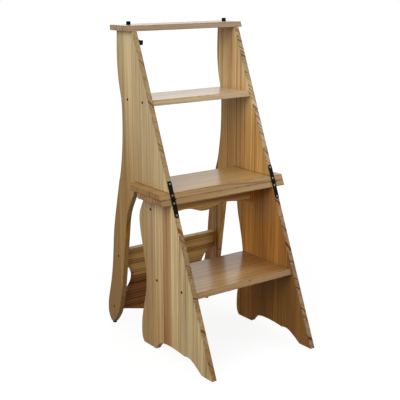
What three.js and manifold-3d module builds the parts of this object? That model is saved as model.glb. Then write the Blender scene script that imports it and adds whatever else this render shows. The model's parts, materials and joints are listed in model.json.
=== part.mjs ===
// Folding step stool chair: a four tread ladder whose upper half turns over on two hinges to make a chair.
// Millimetres. X runs across the ladder, Y from its front to its back, Z up from the floor.
// While it is built, y = 0 is the fold line, where the front edges of the two seat boards meet.
// Every front edge lies on one leaning plane, so that the two halves meet face to face when folded.
import * as THREE from 'three';
import { mergeVertices } from 'three/addons/utils/BufferGeometryUtils.js';
import Module from 'manifold-3d';

// The fold's height above the floor, and the steps' tops below and above it
const foldHeight = 450;
const lowerStepDrop = 237;
const upperStepRise = 248;
// What the top board stays off the floor when it is folded down to be the chair's foot
const foldedTopClearance = 10;

// The leaning front plane: how far it goes back for each unit of height
const frontLeanShare = 0.406;

// Side panels
const panelThickness = 15;
const frontFootLength = 48;
const archSpan = 214;
const archRise = 31;
const lowerPanelReach = 155;
const upperPanelDepth = 77.4;
const legReach = 341.5;

// Boards
const seatBoardThickness = 15;
const seatBoardLength = 423;
const seatBoardOverhang = 30.5;
const lowerSeatDepth = 133;
const upperSeatDepth = 173;
const seatCornerRadius = 25;
const topBoardThickness = 15;
const topBoardOverhang = 13;
const topBoardDepth = 88.4;
const stepThickness = 15;
const lowerStepDepth = 217.2;
const upperStepDepth = 134.3;
const lowerStepSetback = 4.5;
const upperStepSetback = 2;

// Apron under the lower seat board
const apronThickness = 15;
const apronInset = 28;
const apronDepth = 63;
const apronScallop = 15;
const apronScrewDrop = 32;

// Backrest between the legs: its centre plane passes through this top edge and leans with the legs
const backrestThickness = 15;
const backrestTopInset = 71;
const backrestTopHeight = 242;
const backrestLeanShare = 0.2;
const backrestEndDepth = 200;
const backrestCrest = 31;
const handHoleRadius = 53;
const handHoleReach = 39;
const handHoleDrop = 103;
const backrestScrewDrops = [19, 190];

// Hinges
const leafLength = 50;
const leafWidth = 13;
const leafThickness = 1.6;
const barrelRadius = 2.3;
const barrelMiddle = 4.4;
const hingePinRadius = 1.1;
const hingePinHead = 0.6;
const hingePinHeadRadius = 1.8;
const hingeScrewReaches = [10.5, 42.5];

// Screws, dowels and pads
const panelScrew = { head: 3.5, shank: 1.9, sink: 2.4, length: 40, tip: 4, slot: 1, slotDepth: 1.3 };
const hingeScrew = { head: 2.6, shank: 1.4, sink: 1.3, length: 10, tip: 2, slot: 0.7, slotDepth: 0.7 };
const screwRecess = 0.4;
const dowelRadius = 3;
const dowelInBoard = 9;
const dowelInPanel = 14;
const padRadius = 6;
const padDome = 1.2;
const legPadHeight = 5;
const legPadInset = 23.5;
const topPadHeight = 9.5;
const topPadSideInset = 18;
const topPadBackInset = 47;

// Latch: a hook on the upper left panel and a peg on the lower left panel
const hookLength = 40;
const hookThickness = 2;
const hookBarWidth = 4.6;
const hookEyeRadius = 6.6;
const hookTipRadius = 5.4;
const hookTabHeight = 13;
const hookTabReach = 10;
const hookTabDrop = 1;
const hookHangDegrees = 8;
const hookPivotDrop = 43;
const hookPivotInset = 9;
const studNeck = 1.9;
const studCollar = 3.4;
const studCollarLength = 2.4;
const studHead = 4;
const studHeadLength = 2.4;
const studShankLength = 11;
const studTip = 3;

// Clearances, softened edges and the fineness of the curves
const fitGap = 0.3;
const arris = 1;
const cutOverrun = 2;
const weldDistance = 0.001;
const curveSteps = 2;
const cornerSteps = 5;
const holeSides = 12;
const discSides = 20;

// Outlines. Each pair is a share of a reach backwards and of a height, listed along the edge.
const archFrontShares = [
  [0, 0], [0.056, 0.25], [0.107, 0.47], [0.154, 0.65], [0.192, 0.78],
  [0.234, 0.88], [0.276, 0.93], [0.318, 0.91], [0.355, 0.845],
];
const archRearShares = [
  [0.355, 0.845], [0.43, 0.9], [0.52, 0.96], [0.63, 1], [0.74, 0.99],
  [0.827, 0.91], [0.893, 0.74], [0.944, 0.48], [0.98, 0.21], [1, 0],
];
const lowerRearShares = [
  [0.91, 0], [0.962, 0.021], [0.983, 0.055], [0.986, 0.1], [0.974, 0.155], [0.94, 0.213], [0.892, 0.272],
  [0.846, 0.333], [0.817, 0.393], [0.807, 0.452], [0.819, 0.511], [0.848, 0.571], [0.887, 0.631],
  [0.929, 0.69], [0.971, 0.75], [0.997, 0.806], [1.002, 0.852], [0.981, 0.893], [0.929, 0.93],
  [0.871, 0.966], [0.832, 1],
];
const legFrontShares = [
  [0.524, 0.966], [0.543, 0.94], [0.563, 0.912], [0.587, 0.882], [0.609, 0.854], [0.627, 0.825],
  [0.641, 0.796], [0.652, 0.765], [0.66, 0.73], [0.669, 0.685], [0.679, 0.636], [0.69, 0.58],
  [0.702, 0.525], [0.715, 0.46], [0.727, 0.4], [0.739, 0.345], [0.754, 0.278], [0.773, 0.211],
  [0.791, 0.16], [0.811, 0.12], [0.839, 0.08], [0.873, 0.045],
];
const legRearShares = [
  [0.972, 0.03], [0.993, 0.057], [1, 0.086], [0.998, 0.125], [0.988, 0.168], [0.97, 0.217], [0.952, 0.262],
  [0.935, 0.31], [0.921, 0.356], [0.909, 0.405], [0.899, 0.455], [0.891, 0.51], [0.884, 0.56],
  [0.877, 0.61], [0.867, 0.665], [0.853, 0.72], [0.836, 0.778], [0.817, 0.835], [0.799, 0.89], [0.78, 0.945],
];
const upperRearShares = [
  [1.018, 0], [0.993, 0.04], [0.97, 0.1], [0.95, 0.17], [0.934, 0.24], [0.924, 0.31], [0.919, 0.38],
  [0.918, 0.45], [0.921, 0.51], [0.929, 0.56], [0.947, 0.605], [0.966, 0.65], [0.981, 0.7],
  [0.992, 0.755], [0.999, 0.81], [1, 0.865], [0.996, 0.93], [0.989, 1],
];
const apronEdgeShares = [
  [1, 0.05], [0.9, 0.24], [0.79, 0.46], [0.68, 0.68], [0.565, 0.88], [0.46, 0.97], [0.365, 0.96],
  [0.29, 0.82], [0.225, 0.6], [0.165, 0.35], [0.11, 0.15], [0.055, 0.06], [0, 0.04],
];
const crestShares = [
  [1, 0], [0.9, 0.08], [0.8, 0.2], [0.69, 0.36], [0.58, 0.51], [0.47, 0.66], [0.35, 0.8],
  [0.23, 0.91], [0.11, 0.98], [0, 1],
];
const stepScrewShares = [0.22, 0.77];
const dowelShares = [0.22, 0.8];
const slotReachShare = 0.7;
const studDomeShare = 0.75;

// Sizes that follow from those above
const frontAt = (height) => (height - foldHeight) * frontLeanShare;
const topHeight = 2 * foldHeight - foldedTopClearance;
const lowerStepHeight = foldHeight - lowerStepDrop;
const upperStepHeight = foldHeight + upperStepRise;
const lowerStepBack = frontAt(lowerStepHeight) + lowerStepDepth;
const upperStepBack = frontAt(upperStepHeight) + upperStepDepth;
const upperPanelReach = frontAt(topHeight) + upperPanelDepth;
const topBoardBack = frontAt(topHeight) + topBoardDepth;
const panelSpread = seatBoardLength - 2 * seatBoardOverhang;
const topBoardLength = panelSpread + 2 * topBoardOverhang;
const apronCentre = lowerSeatDepth - apronInset - apronThickness / 2;
const backrestTopBack = legReach - backrestTopInset;
const legPadBack = legReach - legPadInset;
const topPadBack = topBoardBack - topPadBackInset;
const hookPivotHeight = topHeight - hookPivotDrop;
const lowerSeatTop = foldHeight - fitGap / 2;
const lowerSeatBase = lowerSeatTop - seatBoardThickness;
const upperSeatBase = foldHeight + fitGap / 2;
const upperSeatTop = upperSeatBase + seatBoardThickness;
const lowerPanelTop = lowerSeatBase - fitGap;
const upperPanelBase = upperSeatTop + fitGap;
const topBoardBase = topHeight - topBoardThickness;
const upperPanelTop = topBoardBase - fitGap;
const neckBack = upperSeatDepth + fitGap;
const legTip = legPadHeight + fitGap;
const panelOuter = panelSpread / 2;
const panelCentre = panelOuter - panelThickness / 2;
const panelInner = panelOuter - panelThickness;
const clearWidth = 2 * (panelInner - fitGap);
const frontLean = Math.atan(frontLeanShare);
const backrestLean = Math.atan(backrestLeanShare);
const pinStandoff = barrelRadius + 2 * fitGap;
const pinBack = -pinStandoff / Math.cos(frontLean);

const looks = {
  palePine: { color: 0xb59a6b, roughness: 0.45, metalness: 0 },
  pine: { color: 0xb38a54, roughness: 0.42, metalness: 0 },
  beech: { color: 0xc79f6b, roughness: 0.6, metalness: 0 },
  blackSteel: { color: 0x17130f, roughness: 0.4, metalness: 0.7 },
  brightSteel: { color: 0xc9c7c2, roughness: 0.3, metalness: 0.9 },
  darkSteel: { color: 0x2b1f14, roughness: 0.5, metalness: 0.7 },
  blackRubber: { color: 0x121212, roughness: 0.85, metalness: 0 },
};

const wasm = await Module();
wasm.setup();

// Turns a closed geometry into a solid that can be joined and cut.
function solidOf(geometry) {
  const bare = geometry.clone();
  bare.deleteAttribute('normal');
  bare.deleteAttribute('uv');
  const welded = mergeVertices(bare, weldDistance);
  const kept = [];
  for (let i = 0; i < welded.index.count; i += 3) {
    const [a, b, c] = [0, 1, 2].map((corner) => welded.index.getX(i + corner));
    if (a !== b && b !== c && c !== a) kept.push(a, b, c);
  }
  const vertProperties = new Float32Array(welded.attributes.position.array);
  return new wasm.Manifold(new wasm.Mesh({ numProp: 3, vertProperties, triVerts: new Uint32Array(kept) }));
}

function geometryOf(solid) {
  const mesh = solid.getMesh();
  const geometry = new THREE.BufferGeometry();
  geometry.setAttribute('position', new THREE.BufferAttribute(mesh.vertProperties, 3));
  geometry.setIndex(new THREE.BufferAttribute(mesh.triVerts, 1));
  geometry.computeVertexNormals();
  return geometry;
}

function joined(...geometries) {
  return geometryOf(geometries.map(solidOf).reduce((whole, next) => whole.add(next)));
}

function cutFrom(geometry, ...tools) {
  return geometryOf(tools.map(solidOf).reduce((rest, tool) => rest.subtract(tool), solidOf(geometry)));
}

// Cuts placed tools out of a placed piece. Both stand in the same group's frame.
function cutPiece(piece, tools) {
  piece.updateMatrix();
  const toPiece = piece.matrix.clone().invert();
  const moved = tools.map((tool) => {
    tool.updateMatrix();
    return tool.geometry.clone().applyMatrix4(tool.matrix).applyMatrix4(toPiece);
  });
  piece.geometry = cutFrom(piece.geometry, ...moved);
}

// A smooth line through points that are shares of a reach and a rise, counted from a base point
function pointsAt(shares, reach, rise, backFrom = 0, upFrom = 0) {
  return shares.map(([back, up]) => new THREE.Vector2(backFrom + back * reach, upFrom + up * rise));
}

function curved(points) {
  return new THREE.SplineCurve(points).getPoints(curveSteps * (points.length - 1));
}

function at(back, up) {
  return new THREE.Vector2(back, up);
}

// A flat board with softened edges: the outline is drawn in X and Y, the thickness is centred on Z.
function plate(outline, thickness, softened = arris) {
  const settings = { depth: thickness - 2 * softened, bevelEnabled: softened > 0, bevelSegments: 1 };
  Object.assign(settings, { bevelThickness: softened, bevelSize: softened, bevelOffset: -softened });
  const shape = Array.isArray(outline) ? new THREE.Shape(outline) : outline;
  const geometry = new THREE.ExtrudeGeometry(shape, { ...settings, curveSegments: cornerSteps });
  return geometry.translate(0, 0, softened - thickness / 2);
}

// Turns a plate whose outline was drawn as back and up so that its thickness lies along X
const acrossTurn = new THREE.Matrix4().makeBasis(
  new THREE.Vector3(0, 1, 0),
  new THREE.Vector3(0, 0, 1),
  new THREE.Vector3(1, 0, 0),
);

function uprightPlate(outline, thickness, softened = arris) {
  return plate(outline, thickness, softened).applyMatrix4(acrossTurn);
}

// A turned solid about Z from pairs of radius and height, listed upwards
function turned(profile, sides = holeSides) {
  const points = profile.map(([radius, height]) => new THREE.Vector2(radius, height));
  return new THREE.LatheGeometry(points, sides).rotateX(Math.PI / 2);
}

function rod(radius, length, sides = holeSides) {
  return turned([[0, -length / 2], [radius, -length / 2], [radius, length / 2], [0, length / 2]], sides);
}

function addPiece(group, name, look, geometry, place = [0, 0, 0]) {
  const piece = new THREE.Mesh(geometry, new THREE.MeshStandardMaterial(looks[look]));
  piece.name = name;
  piece.position.set(...place);
  group.add(piece);
  return piece;
}

const upwards = new THREE.Vector3(0, 0, 1);

// Places an object whose own Z is to point along a direction
function aim(object, place, direction) {
  object.position.copy(place);
  object.quaternion.setFromUnitVectors(upwards, direction);
  return object;
}

const root = new THREE.Group();
const lowerUnit = new THREE.Group();
const foldPivot = new THREE.Group();
const upperUnit = new THREE.Group();
foldPivot.position.set(0, pinBack, foldHeight);
upperUnit.position.copy(foldPivot.position).negate();
foldPivot.add(upperUnit);
root.add(lowerUnit, foldPivot);
root.position.y = -(frontAt(0) + legReach) / 2;

const sides = [
  { word: 'left', sign: -1 },
  { word: 'right', sign: 1 },
];

// Side panels
function lowerPanelOutline() {
  const toe = frontAt(0);
  const archStart = toe + frontFootLength;
  return [
    at(toe, 0),
    ...curved(pointsAt(archFrontShares, archSpan, archRise, archStart)),
    ...curved(pointsAt(archRearShares, archSpan, archRise, archStart)).slice(1),
    ...curved(pointsAt(lowerRearShares, lowerPanelReach, lowerPanelTop)),
    at(frontAt(lowerPanelTop), lowerPanelTop),
  ];
}

function upperPanelOutline() {
  const rear = [
    ...pointsAt(legRearShares, legReach, foldHeight),
    ...pointsAt(upperRearShares, upperPanelReach, upperPanelTop - foldHeight, 0, foldHeight),
  ];
  return [
    at(frontAt(upperPanelBase), upperPanelBase),
    at(neckBack, upperPanelBase),
    ...curved([at(neckBack, upperSeatBase), ...pointsAt(legFrontShares, legReach, foldHeight)]),
    at(legPadBack - padRadius, legTip),
    at(legPadBack + padRadius, legTip),
    ...curved(rear),
    at(frontAt(upperPanelTop), upperPanelTop),
  ];
}

const panels = {};
for (const { word, sign } of sides) {
  const place = [sign * panelCentre, 0, 0];
  const lower = uprightPlate(lowerPanelOutline(), panelThickness);
  const upper = uprightPlate(upperPanelOutline(), panelThickness);
  panels[`lower ${word}`] = addPiece(lowerUnit, `lower_${word}_panel`, 'palePine', lower, place);
  panels[`upper ${word}`] = addPiece(upperUnit, `upper_${word}_panel`, 'palePine', upper, place);
}

// Everything in front of the leaning plane, moved back by a setback, as a tool that trims a board's front edge
function frontTrim(setback, length) {
  const low = -cutOverrun;
  const high = topHeight + cutOverrun;
  const ahead = frontAt(low) - cutOverrun;
  const outline = [
    at(ahead, low),
    at(frontAt(low) + setback, low),
    at(frontAt(high) + setback, high),
    at(ahead, high),
  ];
  return new THREE.Mesh(uprightPlate(outline, length + 2 * cutOverrun, 0));
}

// A level board seen from above, with its rear corners rounded by a radius that may be zero
function levelOutline(length, front, back, cornerRadius) {
  const half = length / 2;
  const shape = new THREE.Shape();
  shape.moveTo(-half, front);
  shape.lineTo(half, front);
  shape.lineTo(half, back - cornerRadius);
  if (cornerRadius > 0) shape.absarc(half - cornerRadius, back - cornerRadius, cornerRadius, 0, Math.PI / 2);
  else shape.lineTo(half, back);
  shape.lineTo(cornerRadius - half, back);
  if (cornerRadius > 0) {
    shape.absarc(cornerRadius - half, back - cornerRadius, cornerRadius, Math.PI / 2, Math.PI);
  }
  shape.closePath();
  return shape;
}

function levelBoard({ name, unit, length, base, thickness, back, setback = 0, radius = 0 }) {
  const front = frontAt(base) + setback - cutOverrun;
  const geometry = plate(levelOutline(length, front, back, radius), thickness);
  const board = addPiece(unit, name, 'pine', geometry, [0, 0, base + thickness / 2]);
  cutPiece(board, [frontTrim(setback, length)]);
  return board;
}

const lowerSeat = levelBoard({
  name: 'lower_seat_board',
  unit: lowerUnit,
  length: seatBoardLength,
  base: lowerSeatBase,
  thickness: seatBoardThickness,
  back: lowerSeatDepth,
  radius: seatCornerRadius,
});
const upperSeat = levelBoard({
  name: 'upper_seat_board',
  unit: upperUnit,
  length: seatBoardLength,
  base: upperSeatBase,
  thickness: seatBoardThickness,
  back: upperSeatDepth,
  radius: seatCornerRadius,
});
const topBoard = levelBoard({
  name: 'top_board',
  unit: upperUnit,
  length: topBoardLength,
  base: topBoardBase,
  thickness: topBoardThickness,
  back: topBoardBack,
});
const lowerStep = levelBoard({
  name: 'lower_step',
  unit: lowerUnit,
  length: clearWidth,
  base: lowerStepHeight - stepThickness,
  thickness: stepThickness,
  back: lowerStepBack,
  setback: lowerStepSetback,
});
const upperStep = levelBoard({
  name: 'upper_step',
  unit: upperUnit,
  length: clearWidth,
  base: upperStepHeight - stepThickness,
  thickness: stepThickness,
  back: upperStepBack,
  setback: upperStepSetback,
});

// Apron: its lower edge is drawn from the right end to the middle, then mirrored
function apronOutline() {
  const half = clearWidth / 2;
  const low = lowerPanelTop - apronDepth;
  const rightHalf = curved(pointsAt(apronEdgeShares, half, apronScallop, 0, low));
  const leftHalf = rightHalf.slice(0, -1).reverse().map((point) => at(-point.x, point.y));
  return [...rightHalf, ...leftHalf, at(-half, lowerPanelTop), at(half, lowerPanelTop)].reverse();
}

const apron = addPiece(lowerUnit, 'lower_apron', 'pine', plate(apronOutline(), apronThickness), [0, apronCentre, 0]);
apron.rotation.x = Math.PI / 2;

// Backrest: drawn with its top edge on zero and its crest below, then leaned back with the legs
function backrestOutline() {
  const half = clearWidth / 2;
  const shape = new THREE.Shape();
  const crest = curved(pointsAt(crestShares, half, -backrestCrest, 0, -backrestEndDepth));
  const holeCentre = half + handHoleRadius - handHoleReach;
  const turn = Math.acos((handHoleRadius - handHoleReach) / handHoleRadius);
  shape.moveTo(half, 0);
  shape.lineTo(-half, 0);
  shape.absarc(-holeCentre, -handHoleDrop, handHoleRadius, turn, -turn, true);
  const leftCrest = crest.slice(0, -1).map((point) => at(-point.x, point.y));
  for (const point of [...leftCrest, ...crest.reverse()]) shape.lineTo(point.x, point.y);
  shape.absarc(holeCentre, -handHoleDrop, handHoleRadius, Math.PI + turn, Math.PI - turn, true);
  shape.closePath();
  return shape;
}

const backrestPlace = [0, backrestTopBack, backrestTopHeight];
const backrest = addPiece(
  upperUnit,
  'backrest_board',
  'pine',
  plate(backrestOutline(), backrestThickness),
  backrestPlace,
);
backrest.rotation.x = Math.PI / 2 + backrestLean;

// Countersunk screws: the head's face is at the screw's own zero and the shank runs down from it
function screwGeometry({ head, shank, sink, length, tip, slot, slotDepth }) {
  const body = turned([[0, -length], [shank, tip - length], [shank, -sink], [head, 0], [0, 0]]);
  const slotLength = 2 * head * slotReachShare;
  const bars = [new THREE.BoxGeometry(slotLength, slot, 2 * slotDepth)];
  bars.push(new THREE.BoxGeometry(slot, slotLength, 2 * slotDepth));
  return cutFrom(body, ...bars);
}

function screwHoleGeometry({ head, shank, sink, length }) {
  const low = -length - fitGap;
  const wide = head + fitGap;
  const narrow = shank + fitGap;
  return turned([[0, low], [narrow, low], [narrow, -sink - fitGap], [wide, 0], [wide, cutOverrun], [0, cutOverrun]]);
}

const panelScrewShape = screwGeometry(panelScrew);
const panelScrewHole = screwHoleGeometry(panelScrew);

// A screw through a panel's outer face into the end of what lies between the panels
function driveScrew(group, name, sign, back, up, pieces) {
  const outward = new THREE.Vector3(sign, 0, 0);
  const place = new THREE.Vector3(sign * (panelOuter - screwRecess), back, up);
  aim(addPiece(group, name, 'darkSteel', panelScrewShape), place, outward);
  const hole = aim(new THREE.Mesh(panelScrewHole), place, outward);
  for (const piece of pieces) cutPiece(piece, [hole]);
}

function stepScrewPlaces(height, setback, back) {
  const middle = height - stepThickness / 2;
  const front = frontAt(middle) + setback;
  return stepScrewShares.map((share) => [front + share * (back - front), middle]);
}

const onBackrest = (drop) => [
  backrestTopBack + drop * Math.sin(backrestLean),
  backrestTopHeight - drop * Math.cos(backrestLean),
];
const screwJobs = [
  {
    what: 'lower_step',
    half: 'lower',
    into: lowerStep,
    places: stepScrewPlaces(lowerStepHeight, lowerStepSetback, lowerStepBack),
  },
  {
    what: 'upper_step',
    half: 'upper',
    into: upperStep,
    places: stepScrewPlaces(upperStepHeight, upperStepSetback, upperStepBack),
  },
  { what: 'apron', half: 'lower', into: apron, places: [[apronCentre, lowerPanelTop - apronScrewDrop]] },
  { what: 'backrest', half: 'upper', into: backrest, places: backrestScrewDrops.map(onBackrest) },
];
for (const { word, sign } of sides) {
  for (const { what, half, into, places } of screwJobs) {
    const group = half === 'lower' ? lowerUnit : upperUnit;
    places.forEach(([back, up], index) => {
      const name = `${what}_${word}_screw_${index + 1}`;
      driveScrew(group, name, sign, back, up, [panels[`${half} ${word}`], into]);
    });
  }
}

// Dowels hold the boards on the panels' ends
const dowelLength = dowelInBoard + dowelInPanel;
const dowelShape = rod(dowelRadius, dowelLength - 2 * fitGap);
const dowelHole = rod(dowelRadius + fitGap, dowelLength);

function driveDowels(group, what, half, board, joint, boardSide, front, back) {
  const middle = joint + (boardSide * (dowelInBoard - dowelInPanel)) / 2;
  for (const { word, sign } of sides) {
    dowelShares.forEach((share, index) => {
      const place = [sign * panelCentre, front + share * (back - front), middle];
      addPiece(group, `${what}_${word}_dowel_${index + 1}`, 'beech', dowelShape, place);
      const hole = new THREE.Mesh(dowelHole);
      hole.position.set(...place);
      for (const piece of [panels[`${half} ${word}`], board]) cutPiece(piece, [hole]);
    });
  }
}

const topPanelBack = upperRearShares.at(-1)[0] * upperPanelReach;
const lowerPanelBack = lowerRearShares.at(-1)[0] * lowerPanelReach;
driveDowels(lowerUnit, 'lower_seat', 'lower', lowerSeat, lowerSeatBase, 1, frontAt(lowerSeatBase), lowerPanelBack);
driveDowels(upperUnit, 'upper_seat', 'upper', upperSeat, upperSeatTop, -1, frontAt(upperSeatTop), neckBack);
driveDowels(upperUnit, 'top_board', 'upper', topBoard, topBoardBase, 1, frontAt(topBoardBase), topPanelBack);

// Hinges: modelled on the leaning front plane, with Y up the slope, Z off the wood and the pin over zero
const hingeTurn = Math.PI / 2 - frontLean;
const upSlope = new THREE.Vector3(0, Math.sin(frontLean), Math.cos(frontLean));
const offWood = new THREE.Vector3(0, -Math.cos(frontLean), Math.sin(frontLean));
const hingeFoot = new THREE.Vector3(0, pinBack, foldHeight).addScaledVector(offWood, -pinStandoff);
const leafFace = fitGap + leafThickness;
const barrelOuter = leafWidth / 2;
const middleHalf = barrelMiddle / 2;
const hingeScrewShape = screwGeometry(hingeScrew);
const hingeScrewHole = screwHoleGeometry(hingeScrew);

// A rod along X over the pin line, between two places across the hinge
function barrel(from, to, radius) {
  const tube = rod(radius, to - from, discSides).rotateY(Math.PI / 2);
  return tube.translate((from + to) / 2, 0, pinStandoff);
}

// One leaf, lying up the slope: a round ended plate that turns up into its knuckles
function leafGeometry(knuckles) {
  const half = leafWidth / 2;
  const end = leafLength - half;
  const outline = new THREE.Shape();
  outline.moveTo(-half, 0);
  outline.lineTo(half, 0);
  outline.lineTo(half, end);
  outline.absarc(0, end, half, 0, Math.PI);
  outline.closePath();
  const sheet = plate(outline, leafThickness, 0).translate(0, 0, fitGap + leafThickness / 2);
  const clear = 2 * (barrelRadius + fitGap);
  const others = [];
  let from = -half - cutOverrun;
  for (const [start, stop] of [...knuckles, [half + cutOverrun, half + cutOverrun]]) {
    const width = start - from - fitGap;
    if (width > fitGap) {
      const notch = new THREE.BoxGeometry(width, clear, clear + 2 * leafFace);
      others.push(notch.translate(from + width / 2, 0, 0));
    }
    from = stop + fitGap;
  }
  const tubes = knuckles.map(([start, stop]) => barrel(start, stop, barrelRadius));
  const bore = barrel(-half - cutOverrun, half + cutOverrun, hingePinRadius + fitGap);
  const holes = hingeScrewReaches.map((reach) => hingeScrewHole.clone().translate(0, reach, leafFace));
  return cutFrom(joined(cutFrom(sheet, ...others), ...tubes), bore, ...holes);
}

const middleKnuckle = [[-middleHalf, middleHalf]];
const outerKnuckles = [
  [-barrelOuter, -middleHalf - fitGap],
  [middleHalf + fitGap, barrelOuter],
];

function pinGeometry() {
  const headFrom = barrelOuter + fitGap;
  const headTo = headFrom + hingePinHead;
  const profile = [
    [0, -headTo], [hingePinHeadRadius, -headTo], [hingePinHeadRadius, -headFrom], [hingePinRadius, -headFrom],
    [hingePinRadius, headFrom], [hingePinHeadRadius, headFrom], [hingePinHeadRadius, headTo], [0, headTo],
  ];
  return turned(profile).rotateY(Math.PI / 2);
}

const upperLeafShape = leafGeometry(outerKnuckles);
const lowerLeafShape = leafGeometry(middleKnuckle);
const hingePinShape = pinGeometry();
for (const { word, sign } of sides) {
  const foot = hingeFoot.clone().setX(sign * panelCentre);
  const upperLeaf = addPiece(upperUnit, `${word}_hinge_upper_leaf`, 'blackSteel', upperLeafShape);
  upperLeaf.position.copy(foot);
  upperLeaf.rotation.x = hingeTurn;
  const lowerLeaf = addPiece(lowerUnit, `${word}_hinge_lower_leaf`, 'blackSteel', lowerLeafShape);
  const pin = addPiece(lowerUnit, `${word}_hinge_pin`, 'blackSteel', hingePinShape);
  pin.position.set(sign * panelCentre, pinBack, foldHeight);
  // The lower leaf is the same plate turned half round about the pin's foot, so that it lies down the slope
  lowerLeaf.position.copy(foot);
  lowerLeaf.rotation.set(hingeTurn, 0, Math.PI, 'XYZ');

  for (const [half, group, direction, board] of [
    ['upper', upperUnit, 1, upperSeat],
    ['lower', lowerUnit, -1, lowerSeat],
  ]) {
    const wood = [board, panels[`${half} ${word}`]];
    hingeScrewReaches.forEach((reach, index) => {
      const place = foot.clone().addScaledVector(upSlope, direction * reach).addScaledVector(offWood, leafFace);
      aim(addPiece(group, `${word}_hinge_${half}_screw_${index + 1}`, 'brightSteel', hingeScrewShape), place, offWood);
      const hole = aim(new THREE.Mesh(hingeScrewHole), place, offWood);
      cutPiece(wood[index], [hole]);
    });
  }
}

// Rubber pads: under the legs for the ladder, and on the top board for the chair
function padGeometry(height) {
  const rim = padRadius - padDome;
  return turned([[0, 0], [rim, 0], [padRadius, padDome], [padRadius, height], [0, height]], discSides);
}

for (const { word, sign } of sides) {
  const legPad = padGeometry(legPadHeight);
  addPiece(upperUnit, `${word}_leg_pad`, 'blackRubber', legPad, [sign * panelCentre, legPadBack, 0]);
  const topPad = padGeometry(topPadHeight - fitGap).rotateX(Math.PI);
  const topPlace = [sign * (panelOuter - topPadSideInset), topPadBack, topHeight + topPadHeight];
  addPiece(upperUnit, `${word}_top_pad`, 'blackRubber', topPad, topPlace);
}

// Latch studs: a collar on the wood, a neck for the hook and a round head, with a shank into the panel
const neckFrom = fitGap + studCollarLength;
const neckTo = neckFrom + hookThickness + 2 * fitGap;
const studTop = neckTo + studHeadLength;
const studShape = turned([
  [0, -studShankLength], [studNeck, studTip - studShankLength], [studNeck, fitGap], [studCollar, fitGap],
  [studCollar, neckFrom], [studNeck, neckFrom], [studNeck, neckTo], [studHead, neckTo],
  [studHead * studDomeShare, studTop], [0, studTop],
], discSides);
const studHole = turned([
  [0, -studShankLength - fitGap], [studNeck + fitGap, -studShankLength - fitGap],
  [studNeck + fitGap, cutOverrun], [0, cutOverrun],
]);
const inward = new THREE.Vector3(1, 0, 0);
const pivotPlace = new THREE.Vector3(-panelInner, frontAt(hookPivotHeight) + hookPivotInset, hookPivotHeight);
// Where the pivot lies when the upper half is folded right over, and the peg one hook length behind it
const foldedPivotBack = 2 * pinBack - pivotPlace.y;
const foldedPivotHeight = 2 * foldHeight - hookPivotHeight;
const pegPlace = new THREE.Vector3(-panelInner, foldedPivotBack + hookLength, foldedPivotHeight);

function fitStud(group, name, place, panel) {
  aim(addPiece(group, name, 'blackSteel', studShape), place, inward);
  cutPiece(panel, [aim(new THREE.Mesh(studHole), place, inward)]);
}

fitStud(upperUnit, 'latch_pivot', pivotPlace, panels['upper left']);
fitStud(lowerUnit, 'latch_peg', pegPlace, panels['lower left']);

// The hook hangs from its eye, with the mouth of its tip towards the front and a finger tab beside the eye
function hookGeometry() {
  const bar = plate([
    at(-hookBarWidth / 2, -hookLength),
    at(hookBarWidth / 2, -hookLength),
    at(hookBarWidth / 2, 0),
    at(-hookBarWidth / 2, 0),
  ], hookThickness, 0);
  const eye = rod(hookEyeRadius, hookThickness, discSides);
  const tip = rod(hookTipRadius, hookThickness, discSides).translate(0, -hookLength, 0);
  const through = hookThickness + 2 * cutOverrun;
  const hole = rod(studNeck + fitGap, through, discSides);
  const seat = hole.clone().translate(0, -hookLength, 0);
  const mouthReach = hookTipRadius + cutOverrun;
  const mouth = new THREE.BoxGeometry(mouthReach, 2 * (studNeck + fitGap), through);
  mouth.translate(-mouthReach / 2, -hookLength, 0);
  const tab = new THREE.BoxGeometry(hookThickness, hookTabHeight, hookTabReach);
  tab.translate((hookThickness - 2 * hookEyeRadius) / 2, -hookTabDrop, (hookTabReach - hookThickness) / 2);
  return cutFrom(joined(bar, eye, tip, tab), hole, seat, mouth).applyMatrix4(acrossTurn);
}

const hookAcross = neckFrom + fitGap + hookThickness / 2 - panelInner;
const hookPlace = [hookAcross, pivotPlace.y, pivotPlace.z];
const hook = addPiece(upperUnit, 'latch_hook', 'blackSteel', hookGeometry(), hookPlace);
// The finger tab's weight in front of the pivot swings the hook's tip a little to the back
hook.rotation.x = THREE.MathUtils.degToRad(hookHangDegrees);

root.updateMatrixWorld(true);

export default root;
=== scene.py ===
# Folding step stool chair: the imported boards, hinges, latch and pads, dressed in pine, steel and rubber
import json
import math
import bpy
import numpy as np
from mathutils import Matrix, Vector
from mathutils.geometry import delaunay_2d_cdt

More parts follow.
